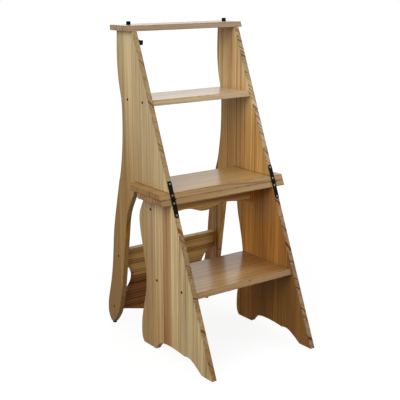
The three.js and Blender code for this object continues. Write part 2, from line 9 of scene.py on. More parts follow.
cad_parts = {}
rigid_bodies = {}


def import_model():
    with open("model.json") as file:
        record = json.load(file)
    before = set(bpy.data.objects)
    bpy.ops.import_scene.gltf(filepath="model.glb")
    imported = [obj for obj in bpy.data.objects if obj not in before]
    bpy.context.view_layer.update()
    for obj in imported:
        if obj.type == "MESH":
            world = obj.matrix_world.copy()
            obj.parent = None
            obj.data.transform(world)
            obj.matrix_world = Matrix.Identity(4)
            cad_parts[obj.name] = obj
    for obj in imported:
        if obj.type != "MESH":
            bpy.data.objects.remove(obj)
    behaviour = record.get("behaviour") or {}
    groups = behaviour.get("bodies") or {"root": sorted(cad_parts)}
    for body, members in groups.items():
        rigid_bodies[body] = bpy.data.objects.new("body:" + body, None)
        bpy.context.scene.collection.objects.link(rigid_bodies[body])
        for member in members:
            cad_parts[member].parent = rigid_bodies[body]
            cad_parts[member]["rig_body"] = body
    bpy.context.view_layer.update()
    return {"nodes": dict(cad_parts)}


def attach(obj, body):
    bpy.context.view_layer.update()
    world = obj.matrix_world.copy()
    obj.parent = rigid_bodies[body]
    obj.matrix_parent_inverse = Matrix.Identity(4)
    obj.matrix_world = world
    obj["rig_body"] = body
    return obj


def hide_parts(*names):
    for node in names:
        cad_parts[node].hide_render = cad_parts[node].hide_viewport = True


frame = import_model()
cadNodes = frame["nodes"]
print("frame loaded:", len(cadNodes), "nodes")

# Millimetres, as in the part's own source. Back is counted from the fold line, up from the floor.
stool = {
    "foldHeight": 450.0,
    "topHeight": 890.0,
    "foldLineBack": -79.4,
    "frontLean": 0.406,
    "boardThickness": 15.0,
    "panelCentre": 173.5,
    "clearWidth": 331.4,
    "legReach": 341.5,
    "fitGap": 0.3,
}
millimetre = 0.001
sideSigns = {"left": -1, "right": 1}


def frontAt(height):
    return (height - stool["foldHeight"]) * stool["frontLean"]


def placeAt(across, back, height):
    return np.array([across, back + stool["foldLineBack"], height])


# Lines and outlines

def unit(vectors):
    return vectors / np.maximum(np.linalg.norm(vectors, axis=-1, keepdims=True), 1e-9)


def circle(angles):
    return np.stack([np.cos(angles), np.sin(angles)], axis=1)


def readOff(marks, total, values):
    # Each column of values, read off where its running total reaches the marks
    return np.stack([np.interp(marks, total, column) for column in values.T], axis=1)


def evenly(line, step):
    # Points at equal distances along a line: each coordinate is read off at equal steps of the length so far
    gone = np.concatenate([[0.0], np.cumsum(np.linalg.norm(np.diff(line, axis=0), axis=1))])
    return readOff(np.linspace(0.0, gone[-1], max(2, int(math.ceil(gone[-1] / step)) + 1)), gone, line)


def averaged(line, spacing, width, reach):
    # Each point becomes the mean of those up to reach points away, weighted by a bell of that width
    bell = np.exp(-0.5 * (np.arange(-reach, reach + 1) * spacing / width) ** 2)
    return np.stack([np.convolve(column, bell / bell.sum(), "valid") for column in line.T], axis=1)


def bendTotal(ahead, longest, turn):
    # The running total of length / longest + turning / turn, so that bends take up more of it
    angle = np.unwrap(np.arctan2(ahead[:, 1], ahead[:, 0]))
    weight = np.linalg.norm(ahead, axis=1) / longest + np.abs(np.gradient(angle)) / math.radians(turn)
    return np.concatenate([[0.0], np.cumsum(weight)])


def smoothLine(points, step=1.0, ease=4.0, pieces=16):
    # Cubic through the points, p1 + t(p2-p0)/2 + t^2(p0-2.5p1+2p2-0.5p3) + t^3(1.5(p1-p2)+(p3-p0)/2) between
    # p1 and p2, then spaced evenly and averaged with a bell of width ease that leaves both ends in place
    p = np.asarray(points, float)
    padded = np.vstack([p[:1], p, p[-1:]])
    t = np.linspace(0.0, 1.0, pieces, endpoint=False)[:, None]
    p0, p1, p2, p3 = (padded[k:len(p) - 1 + k, None, :] for k in range(4))
    cubic = p1 + t * (p2 - p0) / 2 + t**2 * (p0 - 2.5 * p1 + 2 * p2 - 0.5 * p3)
    cubic = cubic + t**3 * (1.5 * (p1 - p2) + (p3 - p0) / 2)
    line = evenly(np.vstack([cubic.reshape(-1, 2), p[-1:]]), step)
    reach = min(int(3 * ease / step), len(line) - 1)
    before = 2 * line[0] - line[reach:0:-1]
    after = 2 * line[-1] - line[-2:-reach - 2:-1]
    return averaged(np.vstack([before, line, after]), step, ease, reach)


def arc(centre, radius, start, end, steps=24):
    # centre + radius (cos a, sin a), with a going from start to end in degrees
    return np.asarray(centre) + radius * circle(np.radians(np.linspace(start, end, steps + 1)))


def closedOutline(runs, corner=0.95, longest=7.0, turn=9.0, fine=0.25):
    # The runs joined into one loop that goes anticlockwise, with its corners rounded by a bell of width
    # corner and its points spread by length and bend. Gives the points and their outward normals.
    loop = np.vstack([np.asarray(run, float) for run in runs])
    loop = loop[np.linalg.norm(loop - np.roll(loop, 1, axis=0), axis=1) > 1e-4]
    x, y = loop.T
    if np.sum(x * np.roll(y, -1) - np.roll(x, -1) * y) < 0:
        loop = loop[::-1]
    dense = evenly(np.vstack([loop, loop[:1]]), fine)[:-1]
    reach = int(math.ceil(3.5 * corner / fine))
    soft = averaged(np.vstack([dense[-reach:], dense, dense[:reach]]), fine, corner, reach)
    after = np.roll(soft, -1, axis=0)
    total = bendTotal(after - soft, longest, turn)
    marks = np.linspace(0.0, total[-1], int(math.ceil(total[-1])), endpoint=False)
    outward = unit((after - np.roll(soft, 1, axis=0))[:, ::-1] * [1, -1])
    points, normals = (readOff(marks, total, np.vstack([rows, rows[:1]])) for rows in (soft, outward))
    return points, unit(normals)


# Meshes

class Shell:
    # Gathers points, faces, the normal at each face corner and the edge mask, which is 1 on worn arrises and
    # -1 in slots and sinks, which get painted shade
    def __init__(self):
        self.points, self.faces, self.normals, self.edge = [], [], [], []
        self.count = 0

    def add(self, points, faces, normals, edge, axes, origin):
        # Points and normals are given along the axes, from the origin. A flat face needs one normal only.
        self.points.append(points @ axes + origin)
        self.faces.append(faces + self.count)
        self.normals.append(np.broadcast_to(normals, points.shape)[faces] @ axes)
        self.edge.append(np.broadcast_to(edge, len(points)))
        self.count += len(points)

    def addFan(self, ring, tip, way, edge, axes, origin):
        # Triangles from a closed ring of points to its middle, facing up or down the third axis
        c, n = np.arange(len(ring)), len(ring)
        faces = np.column_stack([c, (c + 1) % n, np.full(n, n)])
        self.add(np.vstack([ring, [tip]]), faces[:, ::way], (0.0, 0.0, way), edge, axes, origin)


def gridFaces(rows, columns):
    # Quads between neighbouring rows of a grid whose columns close on themselves, four corner numbers each
    r, c = np.meshgrid(np.arange(rows - 1), np.arange(columns), indexing="ij")
    after = (c + 1) % columns
    quads = [r * columns + c, r * columns + after, (r + 1) * columns + after, (r + 1) * columns + c]
    return np.stack(quads, axis=-1).reshape(-1, 4)


def turned(radii, heights, columns):
    # Each (radius, height) pair turned round the third axis into a row of points
    ring = circle(np.linspace(0.0, 2 * math.pi, columns, endpoint=False))
    radii, heights = (np.asarray(values, float)[:, None, None] for values in (radii, heights))
    return np.concatenate([radii * ring, np.repeat(heights, columns, axis=1)], axis=-1)


def inside(points, loop):
    # A point is inside where a ray to its right crosses the loop an odd number of times
    a, b = loop, np.roll(loop, -1, axis=0)
    x, y = points[:, :1], points[:, 1:]
    straddles = (a[:, 1] > y) != (b[:, 1] > y)
    slope = (b[:, 0] - a[:, 0]) / np.where(b[:, 1] == a[:, 1], 1.0, b[:, 1] - a[:, 1])
    return (straddles & (x < a[:, 0] + slope * (y - a[:, 1]))).sum(axis=1) % 2 == 1


def distanceTo(points, loop):
    # The shortest distance from each point to the loop's straight pieces
    along = np.roll(loop, -1, axis=0) - loop
    apart = points[:, None, :] - loop
    t = np.clip((apart * along).sum(-1) / np.maximum((along * along).sum(-1), 1e-9), 0.0, 1.0)
    return np.linalg.norm(apart - t[..., None] * along, axis=-1).min(axis=1)


def capOf(rim, rimNormals, holes, inset, spacing, sides=32, collar=0.8, clear=1.8, slack=0.97, nearHole=0.6):
    # A flat face: its rim, a second line one inset further in, a grid of points inside that, and the holes'
    # rims with a collar each, joined by a Delaunay triangulation that keeps the rim and the holes
    low, high = rim.min(axis=0), rim.max(axis=0)
    steps = [np.arange(low[k] + spacing / 2, high[k], spacing) for k in range(2)]
    lattice = np.stack(np.meshgrid(*steps), axis=-1).reshape(-1, 2)
    lattice = lattice[inside(lattice, rim)]
    lattice = lattice[distanceTo(lattice, rim) > inset + spacing / 3]
    second = rim - inset * rimNormals
    second = second[inside(second, rim)]
    free = np.vstack([second[distanceTo(second, rim) > slack * inset], lattice])
    loops = [rim]
    for centre, radius in holes:
        free = free[np.linalg.norm(free - centre, axis=1) > radius + clear]
        free = np.vstack([free, arc(centre, radius + collar, 0, 360, sides)[:-1]])
        loops.append(arc(centre, radius, 0, 360, sides)[:-1])
    edges, start = [], 0
    for loop in loops:
        n = len(loop)
        edges += [(start + k, start + (k + 1) % n) for k in range(n)]
        start += n
    found = delaunay_2d_cdt([Vector(p) for p in np.vstack([*loops, free])], edges, [], 1, 1e-5)
    # A new point, with no source, is where the rim touches itself in a tight corner
    source = np.array([group[0] if group else 0 for group in found[3]])
    corners = np.array([list(p) for p in found[0]])
    triangles = np.array(found[2])
    middles = corners[triangles].mean(axis=1)
    kept = inside(middles, rim)
    for centre, radius in holes:
        kept &= np.linalg.norm(middles - centre, axis=1) > slack * radius
    mask = np.where(source < len(rim), 1.0, np.where(source < start, nearHole, 0.0))
    return corners, triangles[kept], mask, loops


def addBoard(shell, outline, thickness, axes, origin, arris=1.0, lean=None, holes=(), spacing=9.0, inset=2.2,
             steps=5):
    # A board: the outline carried through the thickness w from -T/2 to T/2 with the profile
    # (inset, w) = (a(1 - sin q), T/2 - a(1 - cos q)) on each arris of size a, and a flat face on each side.
    # lean moves each outline point by lean(point) times w, which slants a front edge.
    # holes are (centre, side, head radius, shank radius, depth) countersinks in the flat faces.
    def mirrored(arrisRows, flankRows, way=1):
        return np.concatenate([arrisRows, flankRows, way * arrisRows[::-1]])

    points, normals = outline
    q = np.radians(np.linspace(0.0, 90.0, steps))
    half = thickness / 2
    flank = half - arris - inset if half > arris + inset else 0.3 * (half - arris)
    shrink = mirrored(arris * (1 - np.sin(q)), np.zeros(3))
    height = mirrored(arris * (1 - np.cos(q)) - half, np.array([-flank, 0.0, flank]), -1)[:, None, None]
    sideways = mirrored(np.sin(q), np.ones(3))[:, None, None] * normals
    facing = mirrored(-np.cos(q), np.zeros(3), -1)[:, None, None]
    worn = mirrored(np.ones(steps), np.zeros(3))
    shear = (lean(points) if lean else np.zeros(len(points)))[:, None]
    flat = points - shrink[:, None, None] * normals + np.column_stack([0 * shear, shear]) * height
    grid = np.concatenate([flat, np.repeat(height, len(points), axis=1)], axis=-1)
    tilted = unit(np.concatenate([sideways, facing - sideways[..., 1:] * shear], axis=-1))
    faces, worn = gridFaces(*grid.shape[:2]), np.repeat(worn, len(points))
    shell.add(grid.reshape(-1, 3), faces, tilted.reshape(-1, 3), worn, axes, origin)
    for side in (-1, 1):
        mine = [hole for hole in holes if hole[1] == side]
        around = [(np.asarray(hole[0]), hole[2]) for hole in mine]
        cap, triangles, mask, loops = capOf(flat[0 if side < 0 else -1], normals, around, inset, spacing)
        lifted = np.column_stack([cap, np.full(len(cap), side * half)])
        shell.add(lifted, triangles[:, ::side], (0.0, 0.0, side), mask, axes, origin)
        for hole, rim in zip(mine, loops[1:]):
            addSink(shell, hole, rim, side, half, axes, origin)


def addSink(shell, hole, rim, side, half, axes, origin, lip=0.1, lipDepth=0.35, floor=1.0, rise=0.4):
    # A blind countersink: the hole's rim carried down through (radius, depth) stations and closed by a fan
    centre, _, head, shank, depth = hole
    bottom = side * (half - depth - floor)
    stations = [(head, 0.0), (head - lip, lipDepth), (shank, depth), (shank, depth + floor)]
    around = (rim - np.asarray(centre)) / head
    level = np.ones(len(rim))
    rows = [np.column_stack([centre + r * around, side * (half - d) * level]) for r, d in stations]
    inward = unit(np.column_stack([-around, rise * side * level]))
    faces = gridFaces(len(rows), len(rim))[:, ::side]
    # The mask of -1 on the sink's walls and floor paints shade into the recess
    shell.add(np.vstack(rows), faces, np.tile(inward, (len(rows), 1)), -1.0, axes, origin)
    shell.addFan(rows[-1], [*centre, bottom], side, -1.0, axes, origin)


def addTurned(shell, profile, axes, origin, columns=32, corner=0.15, fine=0.05, longest=4.0, turn=14.0,
              press=None, faceRings=14, skin=0.07, nudge=0.05):
    # A solid of revolution: the profile of (radius, height) pairs, listed from its lower to its upper pole,
    # with its corners rounded by a bell of width corner, turned round the third axis.
    # press(x, y) lowers the face around the upper pole, as for a cross slot. What lies within skin of the
    # pole's height is that face. It gets even rings, and normals from the slope of press over a nudge.
    line = evenly(np.asarray(profile, float), fine)
    reach = max(1, int(3 * corner / fine))
    before, after = (ends * [-1, 1] for ends in (line[reach:0:-1], line[-2:-reach - 2:-1]))
    soft = averaged(np.vstack([before, line, after]), fine, corner, reach)
    ahead = np.gradient(soft, axis=0)
    total = bendTotal(ahead, longest, turn)[1:]
    total = total - total[0]
    marks = np.linspace(0.0, total[-1], int(math.ceil(total[-1])) + 2)
    line, slope = readOff(marks, total, soft), unit(readOff(marks, total, ahead))
    if press:
        face = line[-1, 1] - skin
        rim = line[line[:, 1] >= face, 0].max()
        disc = np.column_stack([np.linspace(rim, 0.0, faceRings + 1)[1:], np.full(faceRings, line[-1, 1])])
        outer = (line[:, 0] >= rim - 1e-6) | (line[:, 1] < face)
        line = np.vstack([line[outer], disc])
        slope = np.vstack([slope[outer], np.tile([-1.0, 0.0], (faceRings, 1))])
    grid = turned(*line[1:-1].T, columns)
    normals = turned(slope[1:-1, 1], -slope[1:-1, 0], columns)
    edge, sink, slotShade = np.zeros(grid.shape[:2]), 0.0, 0.0
    if press:
        x, y = grid[..., 0], grid[..., 1]
        upper = grid[..., 2] > face
        tilt = [press(x + nudge, y) - press(x - nudge, y), press(x, y + nudge) - press(x, y - nudge)]
        tilt = unit(np.stack([*tilt, np.full_like(x, 2 * nudge)], axis=-1))
        normals = np.where(upper[..., None], tilt, normals)
        depth = np.where(upper, press(x, y), 0.0)
        # The pressed slot is marked down to -1 by its depth, and the face's middle -1, for painted shade in
        # the slot
        sink, slotShade = press(0.0, 0.0), -1.0
        grid[..., 2] -= depth
        edge = -depth / sink
    faces = gridFaces(*grid.shape[:2])
    shell.add(grid.reshape(-1, 3), faces, normals.reshape(-1, 3), edge.reshape(-1), axes, origin)
    shell.addFan(grid[0], [0.0, 0.0, line[0, 1]], -1, 0.0, axes, origin)
    shell.addFan(grid[-1], [0.0, 0.0, line[-1, 1] - sink], 1, slotShade, axes, origin)


def placeObject(name, data):
    holder = bpy.data.objects.new(name, data)
    bpy.context.scene.collection.objects.link(holder)
    return holder


def meshObject(name, shell, material):
    # Writes the gathered points in metres, welds their shared rims and leaves out faces that this closes up
    points = np.vstack(shell.points) * millimetre
    _, first, back = np.unique(np.round(points, 7), axis=0, return_index=True, return_inverse=True)
    back = back.reshape(-1)
    faces, normals = [], []
    for rows, given in zip(shell.faces, shell.normals):
        welded = back[rows]
        whole = (np.diff(np.sort(welded, axis=1), axis=1) > 0).all(axis=1)
        faces += welded[whole].tolist()
        normals += given[whole].reshape(-1, 3).tolist()
    mesh = bpy.data.meshes.new(name)
    mesh.from_pydata(points[first].tolist(), [], faces)
    mesh.shade_smooth()
    mesh.normals_split_custom_set(normals)
    mask = mesh.attributes.new("rim", "FLOAT", "POINT")
    mask.data.foreach_set("value", np.concatenate(shell.edge)[first].astype(np.float32))
    mesh.materials.append(material)
    mesh.update()
    return placeObject(name, mesh)


def finishPiece(name, shell, node, material):
    piece = meshObject(name, shell, material)
    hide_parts(node)
    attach(piece, cadNodes[node]["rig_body"])


# Nodes

class Signal:
    # A node's output. Each sign of arithmetic adds a Math node to the tree that the output belongs to.
    def __init__(self, socket):
        self.socket = socket

    def __add__(self, other):
        return maths("ADD", self, other)

    def __sub__(self, other):
        return maths("SUBTRACT", self, other)

    def __rsub__(self, other):
        return maths("SUBTRACT", other, self)

    def __mul__(self, other):
        return maths("MULTIPLY", self, other)

    def __truediv__(self, other):
        return maths("DIVIDE", self, other)


def feed(socket, value):
    # A signal is linked to the input, a plain value is written into it
    if isinstance(value, Signal):
        socket.id_data.links.new(value.socket, socket)
    else:
        socket.default_value = value


def newNode(tree, kind, inputs=(), **settings):
    node = tree.nodes.new(kind)
    for key, value in settings.items():
        setattr(node, key, value)
    for key, value in inputs.items() if isinstance(inputs, dict) else enumerate(inputs):
        feed(node.inputs[key], value)
    return node


def outputsOf(node):
    return {socket.name: Signal(socket) for socket in node.outputs}


def addNode(kind, inputs, output=0, **settings):
    # The new node goes into the tree of the signals that feed it
    values = inputs.values() if isinstance(inputs, dict) else inputs
    tree = next(value.socket.id_data for value in values if isinstance(value, Signal))
    return Signal(newNode(tree, kind, inputs, **settings).outputs[output])


def maths(operation, *inputs):
    return addNode("ShaderNodeMath", inputs, operation=operation)


def vectorMaths(operation, *inputs, output=0):
    return addNode("ShaderNodeVectorMath", inputs, output, operation=operation)


def scaled(vector, factor):
    return addNode("ShaderNodeVectorMath", {0: vector, "Scale": factor}, operation="SCALE")


def split(vector, kind="XYZ"):
    node = newNode(vector.socket.id_data, "ShaderNodeSeparate" + kind, [vector])
    return list(outputsOf(node).values())


def noiseOf(vector, stretch, detail, roughness=0.5):
    settings = {"Vector": vectorMaths("MULTIPLY", vector, stretch), "Scale": 1.0}
    return addNode("ShaderNodeTexNoise", {**settings, "Detail": detail, "Roughness": roughness})


def spread(value, low, high, *to):
    # Nothing at low, all at high, and a smooth rise between them, whichever of the two is larger
    return addNode("ShaderNodeMapRange", [value, low, high, *to], interpolation_type="SMOOTHSTEP")


def mixed(share, first, second, blend="MIX"):
    return addNode("ShaderNodeMix", {0: share, 6: first, 7: second}, 2, data_type="RGBA", blend_type=blend)


def emptyTree(owner):
    owner.use_nodes = True
    owner.node_tree.nodes.clear()
    return owner.node_tree


def newGroup(name, inputs, outputs):
    group = bpy.data.node_groups.new(name, "ShaderNodeTree")
    for way, values in (("INPUT", inputs), ("OUTPUT", outputs)):
        for label, value in values.items():
            kind = {1: "Float", 3: "Vector", 4: "Color"}[np.size(value)]
            socket = group.interface.new_socket(label, in_out=way, socket_type="NodeSocket" + kind)
            socket.default_value = value
    return group, outputsOf(group.nodes.new("NodeGroupInput")), group.nodes.new("NodeGroupOutput").inputs


def useGroup(tree, group, values):
    return outputsOf(newNode(tree, "ShaderNodeGroup", values, node_tree=group))


def colour(red, green, blue):
    # An 8 bit screen colour as the linear colour that a node takes
    screen = np.array([red, green, blue]) / 255
    linear = np.where(screen <= 0.04045, screen / 12.92, ((screen + 0.055) / 1.055) ** 2.4)
    return (*linear.tolist(), 1.0)


# Pine

white = (1.0, 1.0, 1.0, 1.0)
zeroVector = (0.0, 0.0, 0.0)


def paintedShading(tint, start, full, slope=0.0):
    # Painted shade, or painted light where the tint is above 1: a tint from start to full, counted across +
    # slope x along in metres
    return {"Painted Shading": (*tint, 1.0), "Painted Shading Slope": slope, "Painted Shading From": start, "Painted Shading To": full}


pineBase = {
    "Early": colour(210, 182, 130), "Late": colour(146, 94, 42), "Red": colour(192, 136, 76),
    "Stave Width": 0.038, "Stave Shift": 0.0, "Seed": 1.0, "Ring Gap": 0.0052, "Pith Distance": 0.11,
    "Cut Angle": 1.25, "Board Middle": 0.0, "Slant": 0.006, "Bend": 0.012,
    "Red Stave": 99.0, "Red Span": 0.5, "Stave Contrast": 0.42, "Ring Contrast": 0.5,
    "Streak Contrast": 0.75, "Face Contrast": 1.0, "Oblique Contrast": 1.3, "Wear": 0.45, "Gloss": 0.22,
    "Knot Place": (0.0, 0.0, 9.0), "Knot Size": 0.0,
    "Edge Stain And Sheen": colour(150, 126, 98), "Edge Stain And Sheen Share": 0.0, **paintedShading((1.0, 1.0, 1.0), 0.0, 1.0),
}
knotBrown, rubbedBrown = colour(84, 44, 18), colour(104, 68, 34)
knotStretch, smallestKnot = (1.0, 1.0, 0.6), 0.0001
# Noise by its changes per metre across, through and along the board, its detail and its roughness
staveNoise = {
    "bend": ((9.0, 9.0, 2.4), 1.0), "ripple": ((60.0, 60.0, 9.0), 2.0), "drift": ((16.0, 16.0, 3.0), 2.0),
    "bars": ((230.0, 90.0, 60.0), 3.0, 0.6), "fibre": ((520.0, 520.0, 11.0), 3.0, 0.6),
    "streak": ((92.0, 92.0, 1.4), 5.0, 0.76), "fleck": ((700.0, 700.0, 40.0), 1.0),
}
boardNoise = {"pores": ((420.0,) * 3, 2.0, 0.7), "rub": ((70.0,) * 3, 3.0), "brush": ((55.0,) * 3, 2.0)}
blotchNoise = ((260.0,) * 3, 3.0)
# Where a trait starts to show and where it is full, and what a ring's strength comes to there
ramps = {
    "knotPush": (5.0, 1.0), "knot": (1.2, 0.7), "late": (0.2, 0.8), "ended": (1.0, 0.86),
    "strength": (0.2, 1.0, 0.08, 1.0), "slantCut": (0.12, 0.36), "endGrain": (0.6, 0.95),
    "bars": (0.4, 0.75), "fleck": (0.66, 0.78), "reddish": (0.4, 1.0), "edgeStainAndSheen": (0.5, 0.9),
    "glue": (0.0011, 0.0), "rub": (0.3, 0.7), "blotch": (0.48, 0.66),
}
# How much of each trait shows, then how far it lightens, roughens, varnishes and raises the wood
traitShares = {
    "slide": 3.0, "turn": 0.5, "straight": 0.4, "ripple": 0.003, "uneven": 3.4, "unevenScale": 0.3,
    "firstLate": 0.16, "streak": 4.0, "fibre": 0.5, "bars": 0.3, "redStave": 0.65, "sawnCut": 0.35,
    # The share for the screw sinks gives painted shade there
    "calmCut": 0.7, "recessShade": 0.75, "knot": 0.8,
}
toneShares = {
    "drift": 0.36, "fleck": -0.14, "cutRings": -0.2, "leaning": -0.1, "glueLine": -0.6, "openPores": 0.5,
    "endGrain": -0.27,
}
pineRoughness = 0.34
roughShares = {"brush": 0.16, "endGrain": 0.18, "late": -0.06, "rub": 0.2}
coatShares = {"slantCut": -0.5, "rub": -0.6}
heightShares = {"late": 0.35, "fibre": 0.4, "glue": -0.8, "brush": 0.5, "fleck": -0.4}


def addShares(total, shares, traits):
    for name, share in shares.items():
        total = traits[name] * share + total
    return total


def ramp(name, value):
    return spread(value, *ramps[name])


def buildPineGroup():
    # Edge glued pine. Position is in metres: x across the staves, y through the board and z along the grain.
    # Each stave is cut from its own log: rings lie at equal distances round a pith line, which stands off by
    # Pith Distance at about Cut Angle from the board's depth, so faces, edges and ends show the same wood.
    group, given, made = newGroup(
        "varnishedPine", {"Position": zeroVector, "Facing": zeroVector, "Rim": 0.0, **pineBase},
        {"Color": white, "Roughness": 0.5, "Varnish": 0.0, "Height": 0.0})
    position = given["Position"]
    across, through, along = split(position)
    staves = across / given["Stave Width"] + given["Stave Shift"]
    index = maths("FLOOR", staves)
    inStave = staves - index
    seeded = index + given["Seed"]
    chance = addNode("ShaderNodeTexWhiteNoise", {"W": seeded}, 1, noise_dimensions="1D")
    chanceA, chanceB, chanceC = split(chance, "Color")
    share = traitShares
    apart = addNode("ShaderNodeCombineXYZ", [across + seeded, through, along + chanceA * share["slide"]])
    noise = {name: noiseOf(apart, *facts) for name, facts in staveNoise.items()}
    noise.update({name: noiseOf(position, *facts) for name, facts in boardNoise.items()})

    # The pith line of this stave, and the bent distance from it
    turn = (chanceA - 0.5) * share["turn"] + given["Cut Angle"]
    slant = along * ((chanceC - share["straight"]) * given["Slant"])
    sideways = (inStave - 0.5) * given["Stave Width"] + maths("SINE", turn) * given["Pith Distance"] + slant
    sideways = sideways + (noise["bend"] - 0.5) * given["Bend"]
    deep = through - given["Board Middle"] + maths("COSINE", turn) * given["Pith Distance"] + slant
    distance = maths("SQRT", sideways * sideways + deep * deep)
    distance = distance + (noise["ripple"] - 0.5) * share["ripple"]

    # A knot pushes the rings aside
    knotSize = given["Knot Size"]
    toKnot = vectorMaths("MULTIPLY", vectorMaths("SUBTRACT", position, given["Knot Place"]), knotStretch)
    knotShare = vectorMaths("LENGTH", toKnot, output="Value") / maths("MAXIMUM", knotSize, smallestKnot)
    distance = distance + ramp("knotPush", knotShare) * knotSize
    rings = distance / given["Ring Gap"]
    settings = {"W": rings, "Scale": share["unevenScale"], "Detail": 2.0}
    uneven = addNode("ShaderNodeTexNoise", settings, noise_dimensions="1D")
    rings = rings + (uneven - 0.5) * share["uneven"]
    ringIndex = maths("FLOOR", rings)
    inRing = rings - ringIndex
    strength = addNode("ShaderNodeTexWhiteNoise", {"W": ringIndex + seeded}, noise_dimensions="1D")
    late = ramp("late", inRing) * ramp("ended", inRing) * ramp("strength", strength)

    # Fibres and streaks run the whole length, tone drifts slowly over each stave. A cut that slants across
    # the grain, as on the panels' leaning edges, drinks more stain and shows the rings as dark bars.
    facingAcross, facingThrough, facingAlong = (maths("ABSOLUTE", part) for part in split(given["Facing"]))
    slantCut, endGrain = ramp("slantCut", facingAlong), ramp("endGrain", facingAlong)
    oblique = slantCut * given["Oblique Contrast"]
    leaning = slantCut - endGrain
    bars = ramp("bars", noise["bars"]) * leaning * given["Oblique Contrast"]
    streaks = (noise["streak"] - 0.5) * given["Streak Contrast"] * (1.0 - slantCut * share["calmCut"])
    amount = late * given["Ring Contrast"] * (oblique + 1.0) + share["firstLate"] + streaks * share["streak"]
    amount = amount * (facingThrough * (given["Face Contrast"] - 1.0) + 1.0)
    amount = amount + (noise["fibre"] - 0.5) * share["fibre"] + bars * share["bars"]
    isRed = maths("COMPARE", index, given["Red Stave"], given["Red Span"]) * share["redStave"]
    reddish = maths("MAXIMUM", ramp("reddish", chanceB) * given["Stave Contrast"], isRed)
    base = mixed(reddish, given["Early"], given["Red"])
    # Edge colour on slanted cuts and, by its share, on edges facing across the staves: stain where it is
    # darker, painted sheen where it is pale or grey
    edgeStainAndSheen = ramp("edgeStainAndSheen", facingAcross) * given["Edge Stain And Sheen Share"] + leaning * share["sawnCut"]
    base = mixed(edgeStainAndSheen, base, given["Edge Stain And Sheen"])
    wood = mixed(addNode("ShaderNodeClamp", [amount, 0.0, 1.0]), base, given["Late"])

    # Glue lines, open pores of the end grain, knots, and varnish rubbed thin along the arrises
    toLine = maths("MINIMUM", inStave, 1.0 - inStave) * given["Stave Width"]
    glue = ramp("glue", toLine)
    rub = maths("MAXIMUM", given["Rim"], 0.0) * ramp("rub", noise["rub"]) * given["Wear"]
    traits = {
        **noise, "drift": noise["drift"] - 0.5, "fleck": ramp("fleck", noise["fleck"]), "late": late,
        "cutRings": oblique * late, "leaning": leaning, "slantCut": slantCut, "endGrain": endGrain,
        "openPores": endGrain * noise["pores"], "glue": glue, "glueLine": glue * chanceB, "rub": rub,
    }
    tone = addShares((chanceC - 0.5) * given["Stave Contrast"] + 1.0, toneShares, traits)
    # Painted shade: where the rim mask is below zero, in the screw sinks, the wood is darkened
    recessShade = maths("MAXIMUM", given["Rim"] * -share["recessShade"], 0.0)
    wood = scaled(wood, tone * (1.0 - recessShade))
    # Painted shade and light: the faces are tinted darker, or lighter where the tint is above 1, more and
    # more from one side or end to the other
    paintedShadingTint = spread(along * given["Painted Shading Slope"] + across, given["Painted Shading From"], given["Painted Shading To"])
    paintedShadingTint = mixed(paintedShadingTint * (1.0 - leaning), white, given["Painted Shading"])
    wood = mixed(1.0, wood, paintedShadingTint, "MULTIPLY")
    wood = mixed(ramp("knot", knotShare) * share["knot"], wood, knotBrown)
    feed(made["Color"], mixed(rub, wood, rubbedBrown))
    feed(made["Roughness"], addShares(pineRoughness, roughShares, traits))
    feed(made["Varnish"], addShares(1.0, coatShares, traits) * given["Gloss"])
    feed(made["Height"], addShares(0.0, heightShares, traits))
    return group


# Metal and rubber

# Wear on the rims, painted shade in the slots, and the tints, grain and gloss of the fittings
fitting = {
    "wornRim": 0.7, "wornElsewhere": 0.12, "recessShade": 0.85, "tints": (0.7, 1.35), "grainRoughness": 0.25,
    "smoother": 0.12, "bumpDepth": 0.0003, "metalSpecular": 0.5, "plainSpecular": 0.06,
}


def buildWearGroup():
    # Scuffs and specks: a mask of worn spots near the rims, painted shade in the slots and a fine grain
    group, given, made = newGroup(
        "smallWear", {"Position": zeroVector, "Rim": 0.0, "Grain Scale": 900.0, "Amount": 0.5},
        {"Worn": 0.0, "Grain": 0.0, "Unshaded": 1.0})
    fine = {"Vector": scaled(given["Position"], given["Grain Scale"]), "Scale": 1.0, "Detail": 3.0}
    blotch = ramp("blotch", noiseOf(given["Position"], *blotchNoise))
    near = given["Rim"] * fitting["wornRim"] + fitting["wornElsewhere"]
    feed(made["Worn"], blotch * near * given["Amount"])
    # Painted shade in the slots, where the rim mask is below zero
    feed(made["Unshaded"], 1.0 - maths("MAXIMUM", given["Rim"] * -fitting["recessShade"], 0.0))
    feed(made["Grain"], addNode("ShaderNodeTexNoise", fine))
    return group


pineGroup = buildPineGroup()
wearGroup = buildWearGroup()


def startMaterial(name):
    # Gives the material, its tree, the object coordinates and normal, and the mask of worn rims
    material = bpy.data.materials.new(name)
    tree = emptyTree(material)
    coordinates = outputsOf(newNode(tree, "ShaderNodeTexCoord"))
    rim = outputsOf(newNode(tree, "ShaderNodeAttribute", attribute_name="rim"))["Fac"]
    return material, tree, coordinates, rim


def dressShader(tree, height, strength, depth, inputs):
    # The height becomes a bump, and the rest goes into the shader as it is
    relief = addNode("ShaderNodeBump", {"Height": height, "Strength": strength, "Distance": depth})
    shader = newNode(tree, "ShaderNodeBsdfPrincipled", {**inputs, "Normal": relief})
    newNode(tree, "ShaderNodeOutputMaterial", [Signal(shader.outputs[0])])


# Which axis of the frame goes across the staves, through the board and along the grain
grainAxes = {"panel": (1, 0, 2), "level": (1, 2, 0), "front": (2, 1, 0)}
varnish = {"Coat Roughness": 0.2, "Coat IOR": 1.4, "Specular IOR Level": 0.08}
pineBump = (0.25, 0.0004)


